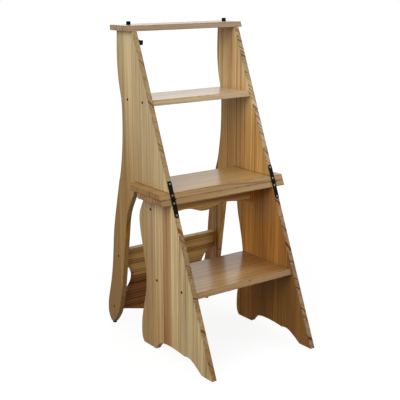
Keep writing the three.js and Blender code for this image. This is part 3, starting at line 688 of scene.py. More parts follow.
def pineMaterial(name, layout, **look):
    material, tree, coordinates, rim = startMaterial(name)
    inputs = {**pineBase, **look, "Rim": rim}
    for label, key in (("Position", "Object"), ("Facing", "Normal")):
        parts = split(coordinates[key])
        inputs[label] = addNode("ShaderNodeCombineXYZ", [parts[k] for k in grainAxes[layout]])
    wood = useGroup(tree, pineGroup, inputs)
    dressShader(tree, wood["Height"], *pineBump, {
        **varnish, "Base Color": wood["Color"], "Roughness": wood["Roughness"],
        "Coat Weight": wood["Varnish"]})
    return material


def fittingMaterial(name, plain, wornColour, roughness, amount, grain, bump, metallic=0.0):
    # Lacquered or plated metal, or rubber: one plain colour broken up by wear, grain and uneven gloss
    material, tree, coordinates, rim = startMaterial(name)
    place = {"Position": coordinates["Object"], "Rim": rim}
    found = useGroup(tree, wearGroup, {**place, "Grain Scale": grain, "Amount": amount})
    darker, lighter = ((*[c * tint for c in plain[:3]], 1.0) for tint in fitting["tints"])
    finish = mixed(found["Worn"], mixed(found["Grain"], darker, lighter), wornColour)
    # The colour is darkened in the slots by painted shade
    dressShader(tree, found["Grain"], bump, fitting["bumpDepth"], {
        "Base Color": scaled(finish, found["Unshaded"]), "Metallic": metallic,
        "Roughness": found["Grain"] * fitting["grainRoughness"] + (roughness - fitting["smoother"]),
        "Specular IOR Level": fitting["metalSpecular"] if metallic else fitting["plainSpecular"]})
    return material


blackSteel = fittingMaterial("blackLacqueredSteel", colour(11, 7, 5), colour(74, 56, 40), roughness=0.5,
                             amount=0.4, grain=700.0, bump=0.3)
brightSteel = fittingMaterial("zincPlatedSteel", colour(134, 130, 122), colour(150, 140, 122),
                              roughness=0.32, amount=0.5, grain=1500.0, bump=0.15, metallic=0.95)
darkSteel = fittingMaterial("bronzedScrewSteel", colour(40, 17, 1), colour(60, 34, 10), roughness=0.6,
                            amount=0.4, grain=1500.0, bump=0.2)
blackRubber = fittingMaterial("mattBlackRubber", colour(13, 12, 11), colour(46, 44, 42), roughness=0.8,
                              amount=0.6, grain=1800.0, bump=0.5)
bareBeech = pineMaterial("bareBeechDowel", "level", **{
    "Early": colour(206, 170, 122), "Late": colour(176, 132, 84), "Ring Gap": 0.0025, "Ring Contrast": 0.3,
    "Wear": 0.0, "Gloss": 0.0})
print("materials ready")

# Side panels: pairs are shares of a reach backwards and of a height, as in the part's source
panelShares = {
    "archFront": [
        [0, 0], [0.056, 0.25], [0.107, 0.47], [0.154, 0.65], [0.192, 0.78],
        [0.234, 0.88], [0.276, 0.93], [0.318, 0.91], [0.355, 0.845],
    ],
    "archRear": [
        [0.355, 0.845], [0.43, 0.9], [0.52, 0.96], [0.63, 1], [0.74, 0.99],
        [0.827, 0.91], [0.893, 0.74], [0.944, 0.48], [0.98, 0.21], [1, 0],
    ],
    "lowerRear": [
        [0.91, 0], [0.962, 0.021], [0.983, 0.055], [0.986, 0.1], [0.974, 0.155], [0.94, 0.213],
        [0.892, 0.272], [0.846, 0.333], [0.817, 0.393], [0.807, 0.452], [0.819, 0.511], [0.848, 0.571],
        [0.887, 0.631], [0.929, 0.69], [0.971, 0.75], [0.997, 0.806], [1.002, 0.852], [0.981, 0.893],
        [0.929, 0.93], [0.871, 0.966], [0.832, 1],
    ],
    "legFront": [
        [0.524, 0.966], [0.543, 0.94], [0.563, 0.912], [0.587, 0.882], [0.609, 0.854], [0.627, 0.825],
        [0.641, 0.796], [0.652, 0.765], [0.66, 0.73], [0.669, 0.685], [0.679, 0.636], [0.69, 0.58],
        [0.702, 0.525], [0.715, 0.46], [0.727, 0.4], [0.739, 0.345], [0.754, 0.278], [0.773, 0.211],
        [0.791, 0.16], [0.811, 0.12], [0.839, 0.08], [0.873, 0.045],
    ],
    "legRear": [
        [0.972, 0.03], [0.993, 0.057], [1, 0.086], [0.998, 0.125], [0.988, 0.168], [0.97, 0.217],
        [0.952, 0.262], [0.935, 0.31], [0.921, 0.356], [0.909, 0.405], [0.899, 0.455], [0.891, 0.51],
        [0.884, 0.56], [0.877, 0.61], [0.867, 0.665], [0.853, 0.72], [0.836, 0.778], [0.817, 0.835],
        [0.799, 0.89], [0.78, 0.945],
    ],
    "upperRear": [
        [1.018, 0], [0.993, 0.04], [0.97, 0.1], [0.95, 0.17], [0.934, 0.24], [0.924, 0.31], [0.919, 0.38],
        [0.918, 0.45], [0.921, 0.51], [0.929, 0.56], [0.947, 0.605], [0.966, 0.65], [0.981, 0.7],
        [0.992, 0.755], [0.999, 0.81], [1, 0.865], [0.996, 0.93], [0.989, 1],
    ],
}
sizes = {
    "lowerPanelReach": 155.0, "upperPanelDepth": 77.4, "frontFoot": 48.0,
    "archSpan": 214.0, "archRise": 31.0,
    "legPadInset": 23.5, "legPadHeight": 5.0, "padRadius": 6.0, "padDome": 1.2, "padDomeShares": (0.35, 0.3),
    "topPadAcross": 163.0, "topPadInset": 47.0, "topPadHeight": 9.2, "topPadEnd": 899.5,
    "seatLength": 423.0, "lowerSeatDepth": 133.0, "upperSeatDepth": 173.0, "seatCorner": 25.0,
    "topLength": 388.0, "topDepth": 88.4,
    "lowerStepTop": 213.0, "lowerStepDepth": 217.2, "lowerStepSetback": 4.5,
    "upperStepTop": 698.0, "upperStepDepth": 134.3, "upperStepSetback": 2.0, "stepScrewShares": (0.22, 0.77),
    "apronInset": 28.0, "apronDepth": 63.0, "apronScallop": 15.0, "apronScrewDrop": 32.0,
    "backrestInset": 71.0, "backrestTop": 242.0, "backrestLean": 0.2, "backrestDepth": 200.0,
    "backrestCrest": 31.0, "backrestScrewDrops": (19.0, 190.0),
    "handHoleRadius": 53.0, "handHoleReach": 39.0, "handHoleDrop": 103.0,
}
levelAxes = np.eye(3)
# Backwards, up, and through towards the right
panelAxes = np.roll(levelAxes, -1, axis=0)
thick, gap, fold = stool["boardThickness"], stool["fitGap"], stool["foldHeight"]
lowerSeatBase = fold - gap / 2 - thick
upperSeatTop = fold + gap / 2 + thick
lowerPanelTop = lowerSeatBase - gap
upperPanelTop = stool["topHeight"] - thick - gap
neckBack = sizes["upperSeatDepth"] + gap
upperReach = frontAt(stool["topHeight"]) + sizes["upperPanelDepth"]
topBack = frontAt(stool["topHeight"]) + sizes["topDepth"]
apronMiddle = sizes["lowerSeatDepth"] - sizes["apronInset"] - thick / 2
backrestBack = stool["legReach"] - sizes["backrestInset"]
legPadBack = stool["legReach"] - sizes["legPadInset"]
backrestAngle = math.atan(sizes["backrestLean"])


def sharesAt(name, reach, rise, backFrom=0.0, upFrom=0.0):
    return np.asarray(panelShares[name], float) * [reach, rise] + [backFrom, upFrom]


def lowerPanelOutline():
    toe = frontAt(0.0)
    start = toe + sizes["frontFoot"]
    return closedOutline([
        [[toe, 0.0], [start, 0.0]],
        smoothLine(sharesAt("archFront", sizes["archSpan"], sizes["archRise"], start), ease=2.0),
        smoothLine(sharesAt("archRear", sizes["archSpan"], sizes["archRise"], start), ease=3.0)[1:],
        smoothLine(sharesAt("lowerRear", sizes["lowerPanelReach"], lowerPanelTop)),
        [[frontAt(lowerPanelTop), lowerPanelTop]],
    ])


def upperPanelOutline():
    reach = stool["legReach"]
    legTip = sizes["legPadHeight"] + gap
    front = np.vstack([[[neckBack, fold + gap / 2]], sharesAt("legFront", reach, fold)])
    upper = sharesAt("upperRear", upperReach, upperPanelTop - fold, 0.0, fold)
    rearLine = smoothLine(np.vstack([sharesAt("legRear", reach, fold), upper]))
    rearLine[:, 0] = np.minimum(rearLine[:, 0], reach)
    base = upperSeatTop + gap
    return closedOutline([
        [[frontAt(base), base], [neckBack, base]],
        smoothLine(front, ease=2.0),
        [[legPadBack - sizes["padRadius"], legTip], [legPadBack + sizes["padRadius"], legTip]],
        rearLine,
        [[frontAt(upperPanelTop), upperPanelTop]],
    ])


def stepBack(half):
    return frontAt(sizes[f"{half}StepTop"]) + sizes[f"{half}StepDepth"]


def stepScrewPlaces(half):
    middle = sizes[f"{half}StepTop"] - thick / 2
    front = frontAt(middle) + sizes[f"{half}StepSetback"]
    return [(front + share * (stepBack(half) - front), middle) for share in sizes["stepScrewShares"]]


def onBackrest(drop):
    back, down = drop * math.sin(backrestAngle), drop * math.cos(backrestAngle)
    return backrestBack + back, sizes["backrestTop"] - down


screwPlaces = {
    "lower_step": stepScrewPlaces("lower"),
    "upper_step": stepScrewPlaces("upper"),
    "apron": [(apronMiddle, lowerPanelTop - sizes["apronScrewDrop"])],
    "backrest": [onBackrest(drop) for drop in sizes["backrestScrewDrops"]],
}
panelScrews = {"lower": ["lower_step", "apron"], "upper": ["upper_step", "backrest"]}
screwSink = (3.8, 2.2, 2.7)

# One look for each panel: the photograph's staves differ in width, tone and grain
# The tint at the end of each look paints shade across the panel, or painted light where it is above 1
panelLooks = {
    "lower_left": {
        "Seed": 11.0, "Stave Shift": 0.05, "Red Stave": -2.0, "Oblique Contrast": 1.9,
        "Early": colour(226, 202, 150), "Late": colour(158, 105, 46), "Red": colour(216, 158, 90),
        "Edge Stain And Sheen": colour(104, 70, 36),
        **paintedShading((0.82, 0.66, 0.48), -0.17, 0.0, slope=-0.31)},
    "upper_left": {
        "Seed": 23.0, "Stave Width": 0.046, "Stave Contrast": 0.28, "Gloss": 0.3, "Streak Contrast": 0.5,
        "Ring Contrast": 0.38, "Red Stave": 4.5, "Red Span": 0.6,
        "Early": colour(222, 200, 152), "Late": colour(155, 104, 46), "Red": colour(172, 142, 80),
        "Edge Stain And Sheen": colour(120, 92, 62),
        **paintedShading((0.56, 0.4, 0.16), -0.26, -0.01, slope=-0.4)},
    "lower_right": {
        "Seed": 37.0, "Stave Shift": 0.1, "Gloss": 0.12, "Stave Contrast": 0.3, "Streak Contrast": 0.55,
        "Red Stave": -6.0, "Red Span": 1.1,
        "Early": colour(194, 138, 68), "Late": colour(128, 72, 24), "Red": colour(136, 96, 52),
        # A pale painted sheen on the leaning edges
        "Edge Stain And Sheen": colour(255, 240, 205),
        **paintedShading((1.5, 1.6, 1.6), -0.03, 0.02)},
    "upper_right": {
        "Seed": 53.0, "Stave Width": 0.042, "Stave Contrast": 0.28, "Streak Contrast": 0.5,
        "Ring Contrast": 0.6, "Oblique Contrast": 0.7, "Red Stave": 5.5, "Red Span": 0.6,
        "Early": colour(250, 222, 164), "Late": colour(156, 100, 44), "Red": colour(216, 126, 46),
        # A grey painted sheen on the leaning edges
        "Edge Stain And Sheen": colour(176, 194, 184),
        **paintedShading((0.79, 0.62, 0.38), 1.6, 1.15, slope=2.0)},
}


def buildPanels():
    outlines = {"lower": lowerPanelOutline(), "upper": upperPanelOutline()}
    for half, outline in outlines.items():
        for word, sign in sideSigns.items():
            holes = [(place, sign, *screwSink) for what in panelScrews[half] for place in screwPlaces[what]]
            shell = Shell()
            origin = placeAt(sign * stool["panelCentre"], 0.0, 0.0)
            addBoard(shell, outline, thick, panelAxes, origin, holes=holes)
            look = {**panelLooks[f"{half}_{word}"], "Board Middle": origin[0] * millimetre}
            material = pineMaterial(f"pinePanel_{half}_{word}", "panel", **look)
            finishPiece(f"panel_{half}_{word}_pine", shell, f"{half}_{word}_panel", material)


buildPanels()
print("panels built")

# Level boards: length, top, setback from the leaning plane, back edge and rear corner radius
seatLength, seatCorner, clearWidth = sizes["seatLength"], sizes["seatCorner"], stool["clearWidth"]
levelSizes = {
    "lower_seat_board": (seatLength, lowerSeatBase + thick, 0.0, sizes["lowerSeatDepth"], seatCorner),
    "upper_seat_board": (seatLength, upperSeatTop, 0.0, sizes["upperSeatDepth"], seatCorner),
    "top_board": (sizes["topLength"], stool["topHeight"], 0.0, topBack, 0.0),
    "lower_step": (clearWidth, sizes["lowerStepTop"], sizes["lowerStepSetback"], stepBack("lower"), 0.0),
    "upper_step": (clearWidth, sizes["upperStepTop"], sizes["upperStepSetback"], stepBack("upper"), 0.0),
}
levelLook = {
    "Gloss": 0.7, "Slant": 0.05, "Bend": 0.016, "Ring Gap": 0.0062, "Cut Angle": 1.4, "Ring Contrast": 0.9,
    "Stave Contrast": 0.16, "Face Contrast": 0.45, "Oblique Contrast": 0.5, "Late": colour(136, 84, 38),
}
# Three looks end with a tint that paints shade across the board, or painted light where it is above 1
levelLooks = {
    "lower_seat_board": {
        "Seed": 71.0, "Stave Width": 0.066, "Stave Shift": 0.35, "Early": colour(178, 142, 86)},
    "upper_seat_board": {
        "Seed": 83.0, "Stave Width": 0.06, "Stave Shift": 0.15, "Early": colour(182, 148, 94),
        **paintedShading((0.86, 0.79, 0.66), 0.0, 0.28, slope=-1.0)},
    "top_board": {
        "Seed": 97.0, "Stave Width": 0.05, "Stave Shift": 0.3, "Ring Contrast": 0.7,
        "Early": colour(168, 140, 108), "Late": colour(120, 84, 56),
        **paintedShading((1.3, 1.45, 1.7), 0.27, 0.33, slope=-1.0)},
    "lower_step": {
        "Seed": 103.0, "Stave Width": 0.07, "Stave Shift": 0.6, "Gloss": 1.0, "Stave Contrast": 0.2,
        "Face Contrast": 1.5, "Ring Contrast": 0.16, "Streak Contrast": 0.24,
        "Early": colour(190, 152, 96), "Late": colour(96, 50, 16), "Red": colour(164, 100, 42),
        "Knot Place": (-0.172, 0.2105, 0.015), "Knot Size": 0.0024,
        **paintedShading((0.66, 0.52, 0.34), -0.12, 0.12, slope=1.2)},
    "upper_step": {
        "Seed": 127.0, "Stave Width": 0.06, "Stave Shift": 0.2, "Gloss": 0.85,
        "Early": colour(200, 174, 130), "Late": colour(128, 90, 54),
        "Knot Place": (0.0205, 0.692, 0.1665), "Knot Size": 0.003},
}


def levelOutline(length, front, back, radius):
    half = length / 2
    corners = [[[half, back]], [[-half, back]]]
    if radius > 0:
        corners = [arc((half - radius, back - radius), radius, 0, 90),
                   arc((radius - half, back - radius), radius, 90, 180)]
    return closedOutline([[[-half, front], [half, front]], *corners])


def frontSlant(front, start=1.5, fade=40.0):
    # The slant is full at the front edge and dies away over the first part of each end
    def lean(points):
        return stool["frontLean"] * np.clip(1.0 - (points[:, 1] - front - start) / fade, 0.0, 1.0)
    return lean


def buildLevelBoards():
    for node, look in levelLooks.items():
        length, top, setback, back, radius = levelSizes[node]
        middle = top - thick / 2
        front = frontAt(middle) + setback
        shell = Shell()
        outline = levelOutline(length, front, back, radius)
        addBoard(shell, outline, thick, levelAxes, placeAt(0.0, 0.0, middle), lean=frontSlant(front))
        look = {**levelLook, **look, "Board Middle": middle * millimetre}
        material = pineMaterial(f"pineBoard_{node}", "level", **look)
        finishPiece(f"{node}_pine", shell, node, material)


buildLevelBoards()
print("level boards built")

# Cross boards: pairs are shares of the half width and of a rise
crossShares = {
    "apronEdge": [
        [1, 0.05], [0.9, 0.24], [0.79, 0.46], [0.68, 0.68], [0.565, 0.88], [0.46, 0.97], [0.365, 0.96],
        [0.29, 0.82], [0.225, 0.6], [0.165, 0.35], [0.11, 0.15], [0.055, 0.06], [0, 0.04],
    ],
    "crest": [
        [1, 0], [0.9, 0.08], [0.8, 0.2], [0.69, 0.36], [0.58, 0.51], [0.47, 0.66], [0.35, 0.8],
        [0.23, 0.91], [0.11, 0.98], [0, 1],
    ],
}
crossCorner = 0.9
apronLook = {
    "Seed": 139.0, "Stave Width": 0.08, "Stave Shift": 0.1, "Cut Angle": 0.3, "Bend": 0.03,
    "Ring Contrast": 0.35, "Streak Contrast": 0.5,
    "Early": colour(252, 206, 130), "Late": colour(150, 88, 34), "Red": colour(180, 110, 48),
}
backrestLook = {
    "Seed": 151.0, "Stave Width": 0.072, "Stave Shift": -0.08, "Bend": 0.02, "Streak Contrast": 0.25,
    "Ring Contrast": 1.0, "Gloss": 0.0, "Ring Gap": 0.006, "Red Stave": 0.5, "Red Span": 1.1,
    "Early": colour(248, 198, 122), "Late": colour(100, 48, 10), "Red": colour(130, 52, 8),
    # A pale painted highlight on the edges that face up and down
    "Edge Stain And Sheen": colour(255, 238, 205), "Edge Stain And Sheen Share": 0.7,
}


def leanedAxes(lean):
    # Along X, up a plane whose top leans backwards by this angle, and off it towards the front
    c, s = math.cos(lean), math.sin(lean)
    return np.array([[1.0, 0.0, 0.0], [0.0, s, c], [0.0, -c, s]])


def mirroredRun(name, half, rise, base):
    # The right half of an edge from its table of shares, then the same line mirrored to the left
    right = np.asarray(crossShares[name], float) * [half, rise] + [0.0, base]
    return smoothLine(np.vstack([right, right[-2::-1] * [-1, 1]]), ease=2.5)


def finishCrossBoard(node, material, look, outline, origin, lean=0.0):
    shell = Shell()
    addBoard(shell, outline, thick, leanedAxes(-lean), origin)
    look = {**look, "Board Middle": origin[1] * millimetre}
    finishPiece(f"{node}_pine", shell, node, pineMaterial(material, "front", **look))


def buildCrossBoards():
    half = clearWidth / 2
    edge = mirroredRun("apronEdge", half, sizes["apronScallop"], lowerPanelTop - sizes["apronDepth"])
    outline = closedOutline([edge, [[-half, lowerPanelTop], [half, lowerPanelTop]]], crossCorner)
    place = placeAt(0.0, apronMiddle, 0.0)
    finishCrossBoard("lower_apron", "pineApron", apronLook, outline, place)

    radius, drop = sizes["handHoleRadius"], sizes["handHoleDrop"]
    bite = radius - sizes["handHoleReach"]
    turn = math.degrees(math.acos(bite / radius))
    crest = mirroredRun("crest", half, -sizes["backrestCrest"], -sizes["backrestDepth"])
    outline = closedOutline([
        [[half, 0.0], [-half, 0.0]],
        arc((-half - bite, -drop), radius, turn, -turn),
        crest[::-1],
        arc((half + bite, -drop), radius, 180 + turn, 180 - turn),
    ], crossCorner)
    place = placeAt(0.0, backrestBack, sizes["backrestTop"])
    finishCrossBoard("backrest_board", "pineBackrest", backrestLook, outline, place,
                     backrestAngle)


buildCrossBoards()
print("apron and backrest built")

# Hinges
leanAngle = math.atan(stool["frontLean"])
hingeAxes = leanedAxes(leanAngle)
hinge = {
    "length": 50.0, "width": 13.0, "thickness": 1.6, "skin": 0.02, "barrel": 2.3, "middle": 4.4,
    "standoff": 2.9, "pin": 1.1, "pinHead": 1.8, "pinHeadLength": 0.6,
    "screws": (10.5, 42.5), "sink": (2.9, 1.7, 1.2), "arris": 0.3, "notch": 0.4, "plainEdge": 0.3,
}
thinPlate = {"spacing": 2.5, "inset": 0.35}
thinOutline = {"longest": 3.0, "fine": 0.1}
pinBack = -hinge["standoff"] / math.cos(leanAngle)
hingeScrew = {"head": 2.6, "shank": 1.4, "sink": 1.3, "length": 10.0, "tip": 2.0, "slot": 0.7, "depth": 0.7}
panelScrew = {"head": 3.5, "shank": 1.9, "sink": 2.4, "length": 40.0, "tip": 4.0, "slot": 1.0, "depth": 1.3}
screwBelowFace = 0.4


def addTube(shell, start, end, outer, inner, axes, origin, arris=0.25, columns=40):
    # A knuckle: a ring shaped profile turned round the pin, with its corners cut by an arris
    profile = [
        [inner, start], [outer - arris, start], [outer, start + arris], [outer, end - arris],
        [outer - arris, end], [inner, end], [inner, start],
    ]
    for (r0, h0), (r1, h1) in zip(profile[:-1], profile[1:]):
        way = np.array([h1 - h0, r0 - r1]) / math.hypot(h1 - h0, r0 - r1)
        rows = turned([r0, r1], [h0, h1], columns).reshape(-1, 3)
        normals = turned([way[0]] * 2, [way[1]] * 2, columns).reshape(-1, 3)
        worn = 1.0 if r0 != r1 and h0 != h1 else hinge["plainEdge"]
        shell.add(rows, gridFaces(2, columns), normals, worn, axes, origin)


def leafOutline(knuckles):
    # The leaf with a round far end, and notches at its near end where the other leaf's knuckles turn
    half, clear, notch = hinge["width"] / 2, hinge["barrel"] + gap, hinge["notch"]
    near = []
    for start, end in knuckles:
        near += [[start, clear], [start, notch], [end, notch], [end, clear]]
    if knuckles[0][0] > -half:
        near = [[-half, clear], *near, [half, clear]]
    far = arc((0.0, hinge["length"] - half), half, 0, 180)
    return closedOutline([near, far], corner=0.3, **thinOutline)


def crossSlot(screw, reachShare=0.7, marginShare=0.12):
    # How far the cross is pressed in: its depth inside either bar, fading to nothing over a thin margin
    half, reach, margin = screw["slot"] / 2, reachShare * screw["head"], marginShare * screw["head"]

    def bar(u, v):
        across, along = (half + margin - np.abs(u)) / margin, (reach - np.abs(v)) / margin
        return np.clip(across, 0, 1) * np.clip(along, 0, 1)

    def press(x, y):
        return screw["depth"] * np.maximum(bar(x, y), bar(y, x))
    return press


def screwShell(screw, axes, origin, lip=0.15):
    shell = Shell()
    shank, head, length = screw["shank"], screw["head"], screw["length"]
    profile = [
        [0.0, -length], [shank, screw["tip"] - length], [shank, -screw["sink"]], [head, -lip], [head, 0.0],
        [0.0, 0.0],
    ]
    addTurned(shell, profile, axes, origin, columns=48, corner=0.08, press=crossSlot(screw))
    return shell


def buildLeaf(word, half, way, knuckles, pinPlace):
    # One leaf with its knuckles and its screws; way is 1 up the leaning plane and -1 down it
    foot = pinPlace - hinge["standoff"] * hingeAxes[2]
    axes = hingeAxes * np.array([[way], [way], [1.0]])
    shell = Shell()
    holes = [((0.0, reach), 1, *hinge["sink"]) for reach in hinge["screws"]]
    origin = foot + (gap + hinge["thickness"] / 2) * hingeAxes[2]
    addBoard(shell, leafOutline(knuckles), hinge["thickness"] - hinge["skin"], axes, origin,
             arris=hinge["arris"], holes=holes, **thinPlate)
    for start, end in knuckles:
        addTube(shell, start, end, hinge["barrel"], hinge["pin"] + gap, panelAxes, pinPlace)
    name, node = f"hinge_{word}_{half}", f"{word}_hinge_{half}"
    finishPiece(f"{name}_leaf_steel", shell, f"{node}_leaf", blackSteel)
    for index, reach in enumerate(hinge["screws"]):
        place = foot + way * reach * hingeAxes[1] + (gap + hinge["thickness"]) * hingeAxes[2]
        shell, which = screwShell(hingeScrew, hingeAxes, place), f"screw_{index + 1}"
        finishPiece(f"{name}_{which}_zinc", shell, f"{node}_{which}", brightSteel)


def buildHinges():
    middle, outer = hinge["middle"] / 2, hinge["width"] / 2
    head, pin, reach = hinge["pinHead"], hinge["pin"], outer + gap
    far = reach + hinge["pinHeadLength"]
    profile = [
        [0, -far], [head, -far], [head, -reach], [pin, -reach],
        [pin, reach], [head, reach], [head, far], [0, far],
    ]
    for word, sign in sideSigns.items():
        pinPlace = placeAt(sign * stool["panelCentre"], pinBack, fold)
        buildLeaf(word, "upper", 1.0, [(-outer, -middle - gap), (middle + gap, outer)], pinPlace)
        buildLeaf(word, "lower", -1.0, [(-middle, middle)], pinPlace)
        shell = Shell()
        addTurned(shell, profile, panelAxes, pinPlace, columns=28, corner=0.1)
        finishPiece(f"hinge_{word}_pin_steel", shell, f"{word}_hinge_pin", blackSteel)


def buildPanelScrews():
    inset = stool["panelCentre"] + thick / 2 - screwBelowFace
    for what, places in screwPlaces.items():
        for word, sign in sideSigns.items():
            # The third axis points out of the panel
            axes = np.array([[0.0, 1.0, 0.0], [0.0, 0.0, sign], [sign, 0.0, 0.0]])
            for index, (back, height) in enumerate(places):
                node = f"{what}_{word}_screw_{index + 1}"
                shell = screwShell(panelScrew, axes, placeAt(sign * inset, back, height))
                finishPiece(f"{node}_bronze", shell, node, darkSteel)


def buildPads():
    radius, dome = sizes["padRadius"], sizes["padDome"]
    wide, high = sizes["padDomeShares"]
    for word, sign in sideSigns.items():
        legPlace = placeAt(sign * stool["panelCentre"], legPadBack, 0.0)
        topPlace = placeAt(sign * sizes["topPadAcross"], topBack - sizes["topPadInset"], sizes["topPadEnd"])
        upsideDown = np.diag([1.0, -1.0, -1.0])
        for what, height, axes, place in (
            ("leg_pad", sizes["legPadHeight"], levelAxes, legPlace),
            ("top_pad", sizes["topPadHeight"], upsideDown, topPlace),
        ):
            shell = Shell()
            bevel = [[radius - dome, 0], [radius - wide * dome, high * dome], [radius, dome]]
            profile = [[0, 0], *bevel, [radius, height], [0, height]]
            addTurned(shell, profile, axes, place, columns=40, corner=0.2)
            finishPiece(f"{word}_{what}_rubber", shell, f"{word}_{what}", blackRubber)


latch = {
    "length": 40.0, "thickness": 2.0, "bar": 4.6, "eye": 6.6, "tip": 5.4,
    "tabHeight": 13.0, "tabReach": 10.0, "tabDrop": 1.0, "hang": 8.0, "drop": 43.0, "inset": 9.0,
    "neck": 1.9, "collar": 3.4, "collarLength": 2.4, "head": 4.0, "headLength": 2.4, "headEdge": 0.8,
    "crown": 0.2, "crownShares": (0.75, 0.3),
    "shank": 11.0, "point": 3.0, "arris": 0.35, "corner": 0.35, "tabCorner": 0.8,
}


def buildLatch():
    inner, plate = stool["panelCentre"] - thick / 2, latch["thickness"]
    pivotUp = stool["topHeight"] - latch["drop"]
    pivotBack = frontAt(pivotUp) + latch["inset"]
    neck, collar, head, shank = latch["neck"], latch["collar"], latch["head"], latch["shank"]
    neckFrom = gap + latch["collarLength"]
    neckTo = neckFrom + plate + 2 * gap
    edge, top = neckTo + latch["headEdge"], neckTo + latch["headLength"]
    wide, narrow = latch["crownShares"]
    studProfile = [
        [0, -shank], [neck, latch["point"] - shank], [neck, gap], [collar, gap], [collar, neckFrom],
        [neck, neckFrom], [neck, neckTo], [head, neckTo], [head, edge], [wide * head, top - latch["crown"]],
        [narrow * head, top], [0, top],
    ]
    places = {
        "latch_pivot": (pivotBack, pivotUp),
        "latch_peg": (2 * pinBack - pivotBack + latch["length"], 2 * fold - pivotUp),
    }
    for node, place in places.items():
        shell = Shell()
        addTurned(shell, studProfile, panelAxes, placeAt(-inner, *place), columns=36)
        finishPiece(f"{node}_steel", shell, node, blackSteel)

    # The hook hangs from its eye. Its outline is drawn with the tip below and the mouth towards the front.
    bar, eye, tip = latch["bar"] / 2, latch["eye"], latch["tip"]
    below, seat = (0, -latch["length"]), neck + gap
    sines = (bar / eye, bar / tip, seat / tip)
    eyeTurn, tipTurn, mouth = (math.degrees(math.asin(sine)) for sine in sines)
    outline = closedOutline([
        arc((0, 0), eye, -90 + eyeTurn, 270 - eyeTurn, 48),
        arc(below, tip, 90 + tipTurn, 180 - mouth),
        arc(below, seat, 90, -90),
        arc(below, tip, 180 + mouth, 450 - tipTurn, 36),
    ], latch["corner"], **thinOutline)
    swing = math.radians(latch["hang"])
    c, s = math.cos(swing), math.sin(swing)
    hookAxes = np.array([[0.0, c, s], [0.0, -s, c], [1.0, 0.0, 0.0]])
    place = placeAt(neckFrom + gap + plate / 2 - inner, pivotBack, pivotUp)
    shell = Shell()
    addBoard(shell, outline, plate, hookAxes, place, arris=latch["arris"], **thinPlate)
    low, high = (latch["tabHeight"] * half - latch["tabDrop"] for half in (-0.5, 0.5))
    near, far = -plate / 2, latch["tabReach"] - plate / 2
    tab = [[low, near], [high, near], [high, far], [low, far]]
    outline = closedOutline([tab], latch["tabCorner"], **thinOutline)
    tabAxes = np.roll(hookAxes, -1, axis=0)
    place = place + (plate / 2 - eye) * hookAxes[0]
    addBoard(shell, outline, plate, tabAxes, place, arris=latch["arris"], **thinPlate)
    finishPiece("latch_hook_steel", shell, "latch_hook", blackSteel)


buildHinges()
buildPanelScrews()
buildPads()
buildLatch()
for name, node in cadNodes.items():
    if "dowel" in name:
        node.data.materials.clear()
        node.data.materials.append(bareBeech)
print("hinges, screws, pads, latch and dowels ready")

# Stage, light and camera, in metres but for the floor's radii, which are in millimetres like every shell
studio = {
    "world": 0.36, "floorRadii": (500.0, 30000.0), "floorRings": 24, "floorSides": 96,
    "floorShadow": 0.14, "floorWhite": 1.05, "floorShine": 0.85, "floorBounce": 0.2, "floorFade": (2.2, 0.6),
    "floorNoise": ((3.0,) * 3, 2.0), "floorTints": ((0.93, 0.93, 0.925, 1.0), (0.97, 0.97, 0.965, 1.0)),
}
lamps = {
    "key": {"power": 48.0, "place": (-2.2, -0.9, 2.2), "size": 2.2},
    "top": {"power": 10.0, "place": (0.1, -0.2, 2.5), "size": 1.2},
    "fill": {"power": 11.0, "place": (1.9, -1.3, 1.5), "size": 1.5},
    "back": {"power": 12.0, "place": (0.4, 2.4, 1.6), "size": 1.5},
}
lampAim = Vector((0.0, 0.0, 0.45))
view = {
    "place": (-1.4164349, -1.8965713, 1.0138818),
    "yaw": 0.6322, "pitch": -0.2518, "roll": -0.0021,
    "lens": 77.9026, "sensor": 36.0,
}


def seenDirectly(path):
    # One for the camera, mirrors and glass, and nothing for the light that falls on the wood
    seen = maths("MAXIMUM", path["Is Camera Ray"], path["Is Glossy Ray"])
    return maths("MAXIMUM", seen, path["Is Transmission Ray"])


def buildWorld():
    world = bpy.data.worlds.new("studioWorld")
    bpy.context.scene.world = world
    tree = emptyTree(world)
    seen = seenDirectly(outputsOf(tree.nodes.new("ShaderNodeLightPath")))
    strength = addNode("ShaderNodeMapRange", [seen, 0.0, 1.0, studio["world"], 1.0])
    newNode(tree, "ShaderNodeOutputWorld", [addNode("ShaderNodeBackground", [white, strength])])


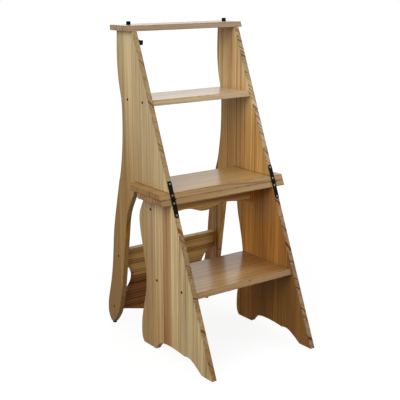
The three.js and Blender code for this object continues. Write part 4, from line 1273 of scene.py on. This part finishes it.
def buildFloor():
    # A wide disc of rings, white to the camera with a little of the real shadow left in it
    material = bpy.data.materials.new("paleFloor")
    tree = emptyTree(material)
    place = outputsOf(newNode(tree, "ShaderNodeTexCoord"))["Object"]
    path = outputsOf(tree.nodes.new("ShaderNodeLightPath"))
    tint = mixed(noiseOf(place, *studio["floorNoise"]), *studio["floorTints"])
    matt = addNode("ShaderNodeBsdfDiffuse", [tint])
    dim = outputsOf(newNode(tree, "ShaderNodeBsdfDiffuse", [(*[studio["floorBounce"]] * 3, 1.0)]))["BSDF"]
    glow = outputsOf(newNode(tree, "ShaderNodeEmission", [white, studio["floorWhite"]]))["Emission"]
    shares = [path["Is Camera Ray"], 0.0, 1.0, studio["floorShine"], studio["floorShadow"]]
    away = vectorMaths("LENGTH", place, output="Value")
    shadow = spread(away, *studio["floorFade"]) * addNode("ShaderNodeMapRange", shares)
    seen = addNode("ShaderNodeMixShader", [shadow, glow, matt])
    both = addNode("ShaderNodeMixShader", [seenDirectly(path), dim, seen])
    newNode(tree, "ShaderNodeOutputMaterial", [both])

    count, middle = studio["floorRings"], np.zeros(3)
    rows = turned(np.linspace(*studio["floorRadii"], count), np.zeros(count), studio["floorSides"])
    shell = Shell()
    faces = gridFaces(*rows.shape[:2])[:, ::-1]
    shell.add(rows.reshape(-1, 3), faces, (0.0, 0.0, 1.0), 0.0, levelAxes, middle)
    shell.addFan(rows[0], middle, 1, 0.0, levelAxes, middle)
    floor = meshObject("studioFloor", shell, material)


def buildLamps():
    for name, facts in lamps.items():
        lamp = bpy.data.lights.new(f"{name}Lamp", "AREA")
        lamp.energy = facts["power"]
        lamp.size = facts["size"]
        holder = placeObject(f"{name}Lamp", lamp)
        holder.location = facts["place"]
        holder.rotation_euler = (lampAim - Vector(facts["place"])).to_track_quat("-Z", "Y").to_euler()


def buildCamera():
    # Yaw is to the right of the Y axis, pitch above the horizon, and roll anticlockwise
    turns = ((-view["yaw"], "Z"), (math.pi / 2 + view["pitch"], "X"), (view["roll"], "Z"))
    yaw, pitch, roll = (Matrix.Rotation(angle, 4, axis) for angle, axis in turns)
    lens = bpy.data.cameras.new("viewCamera")
    lens.lens = view["lens"]
    lens.sensor_width = view["sensor"]
    camera = placeObject("viewCamera", lens)
    camera.matrix_world = Matrix.Translation(view["place"]) @ yaw @ pitch @ roll
    bpy.context.scene.camera = camera


buildWorld()
buildFloor()
buildLamps()
buildCamera()
bpy.context.scene.view_settings.view_transform = "Standard"
print("studio ready")
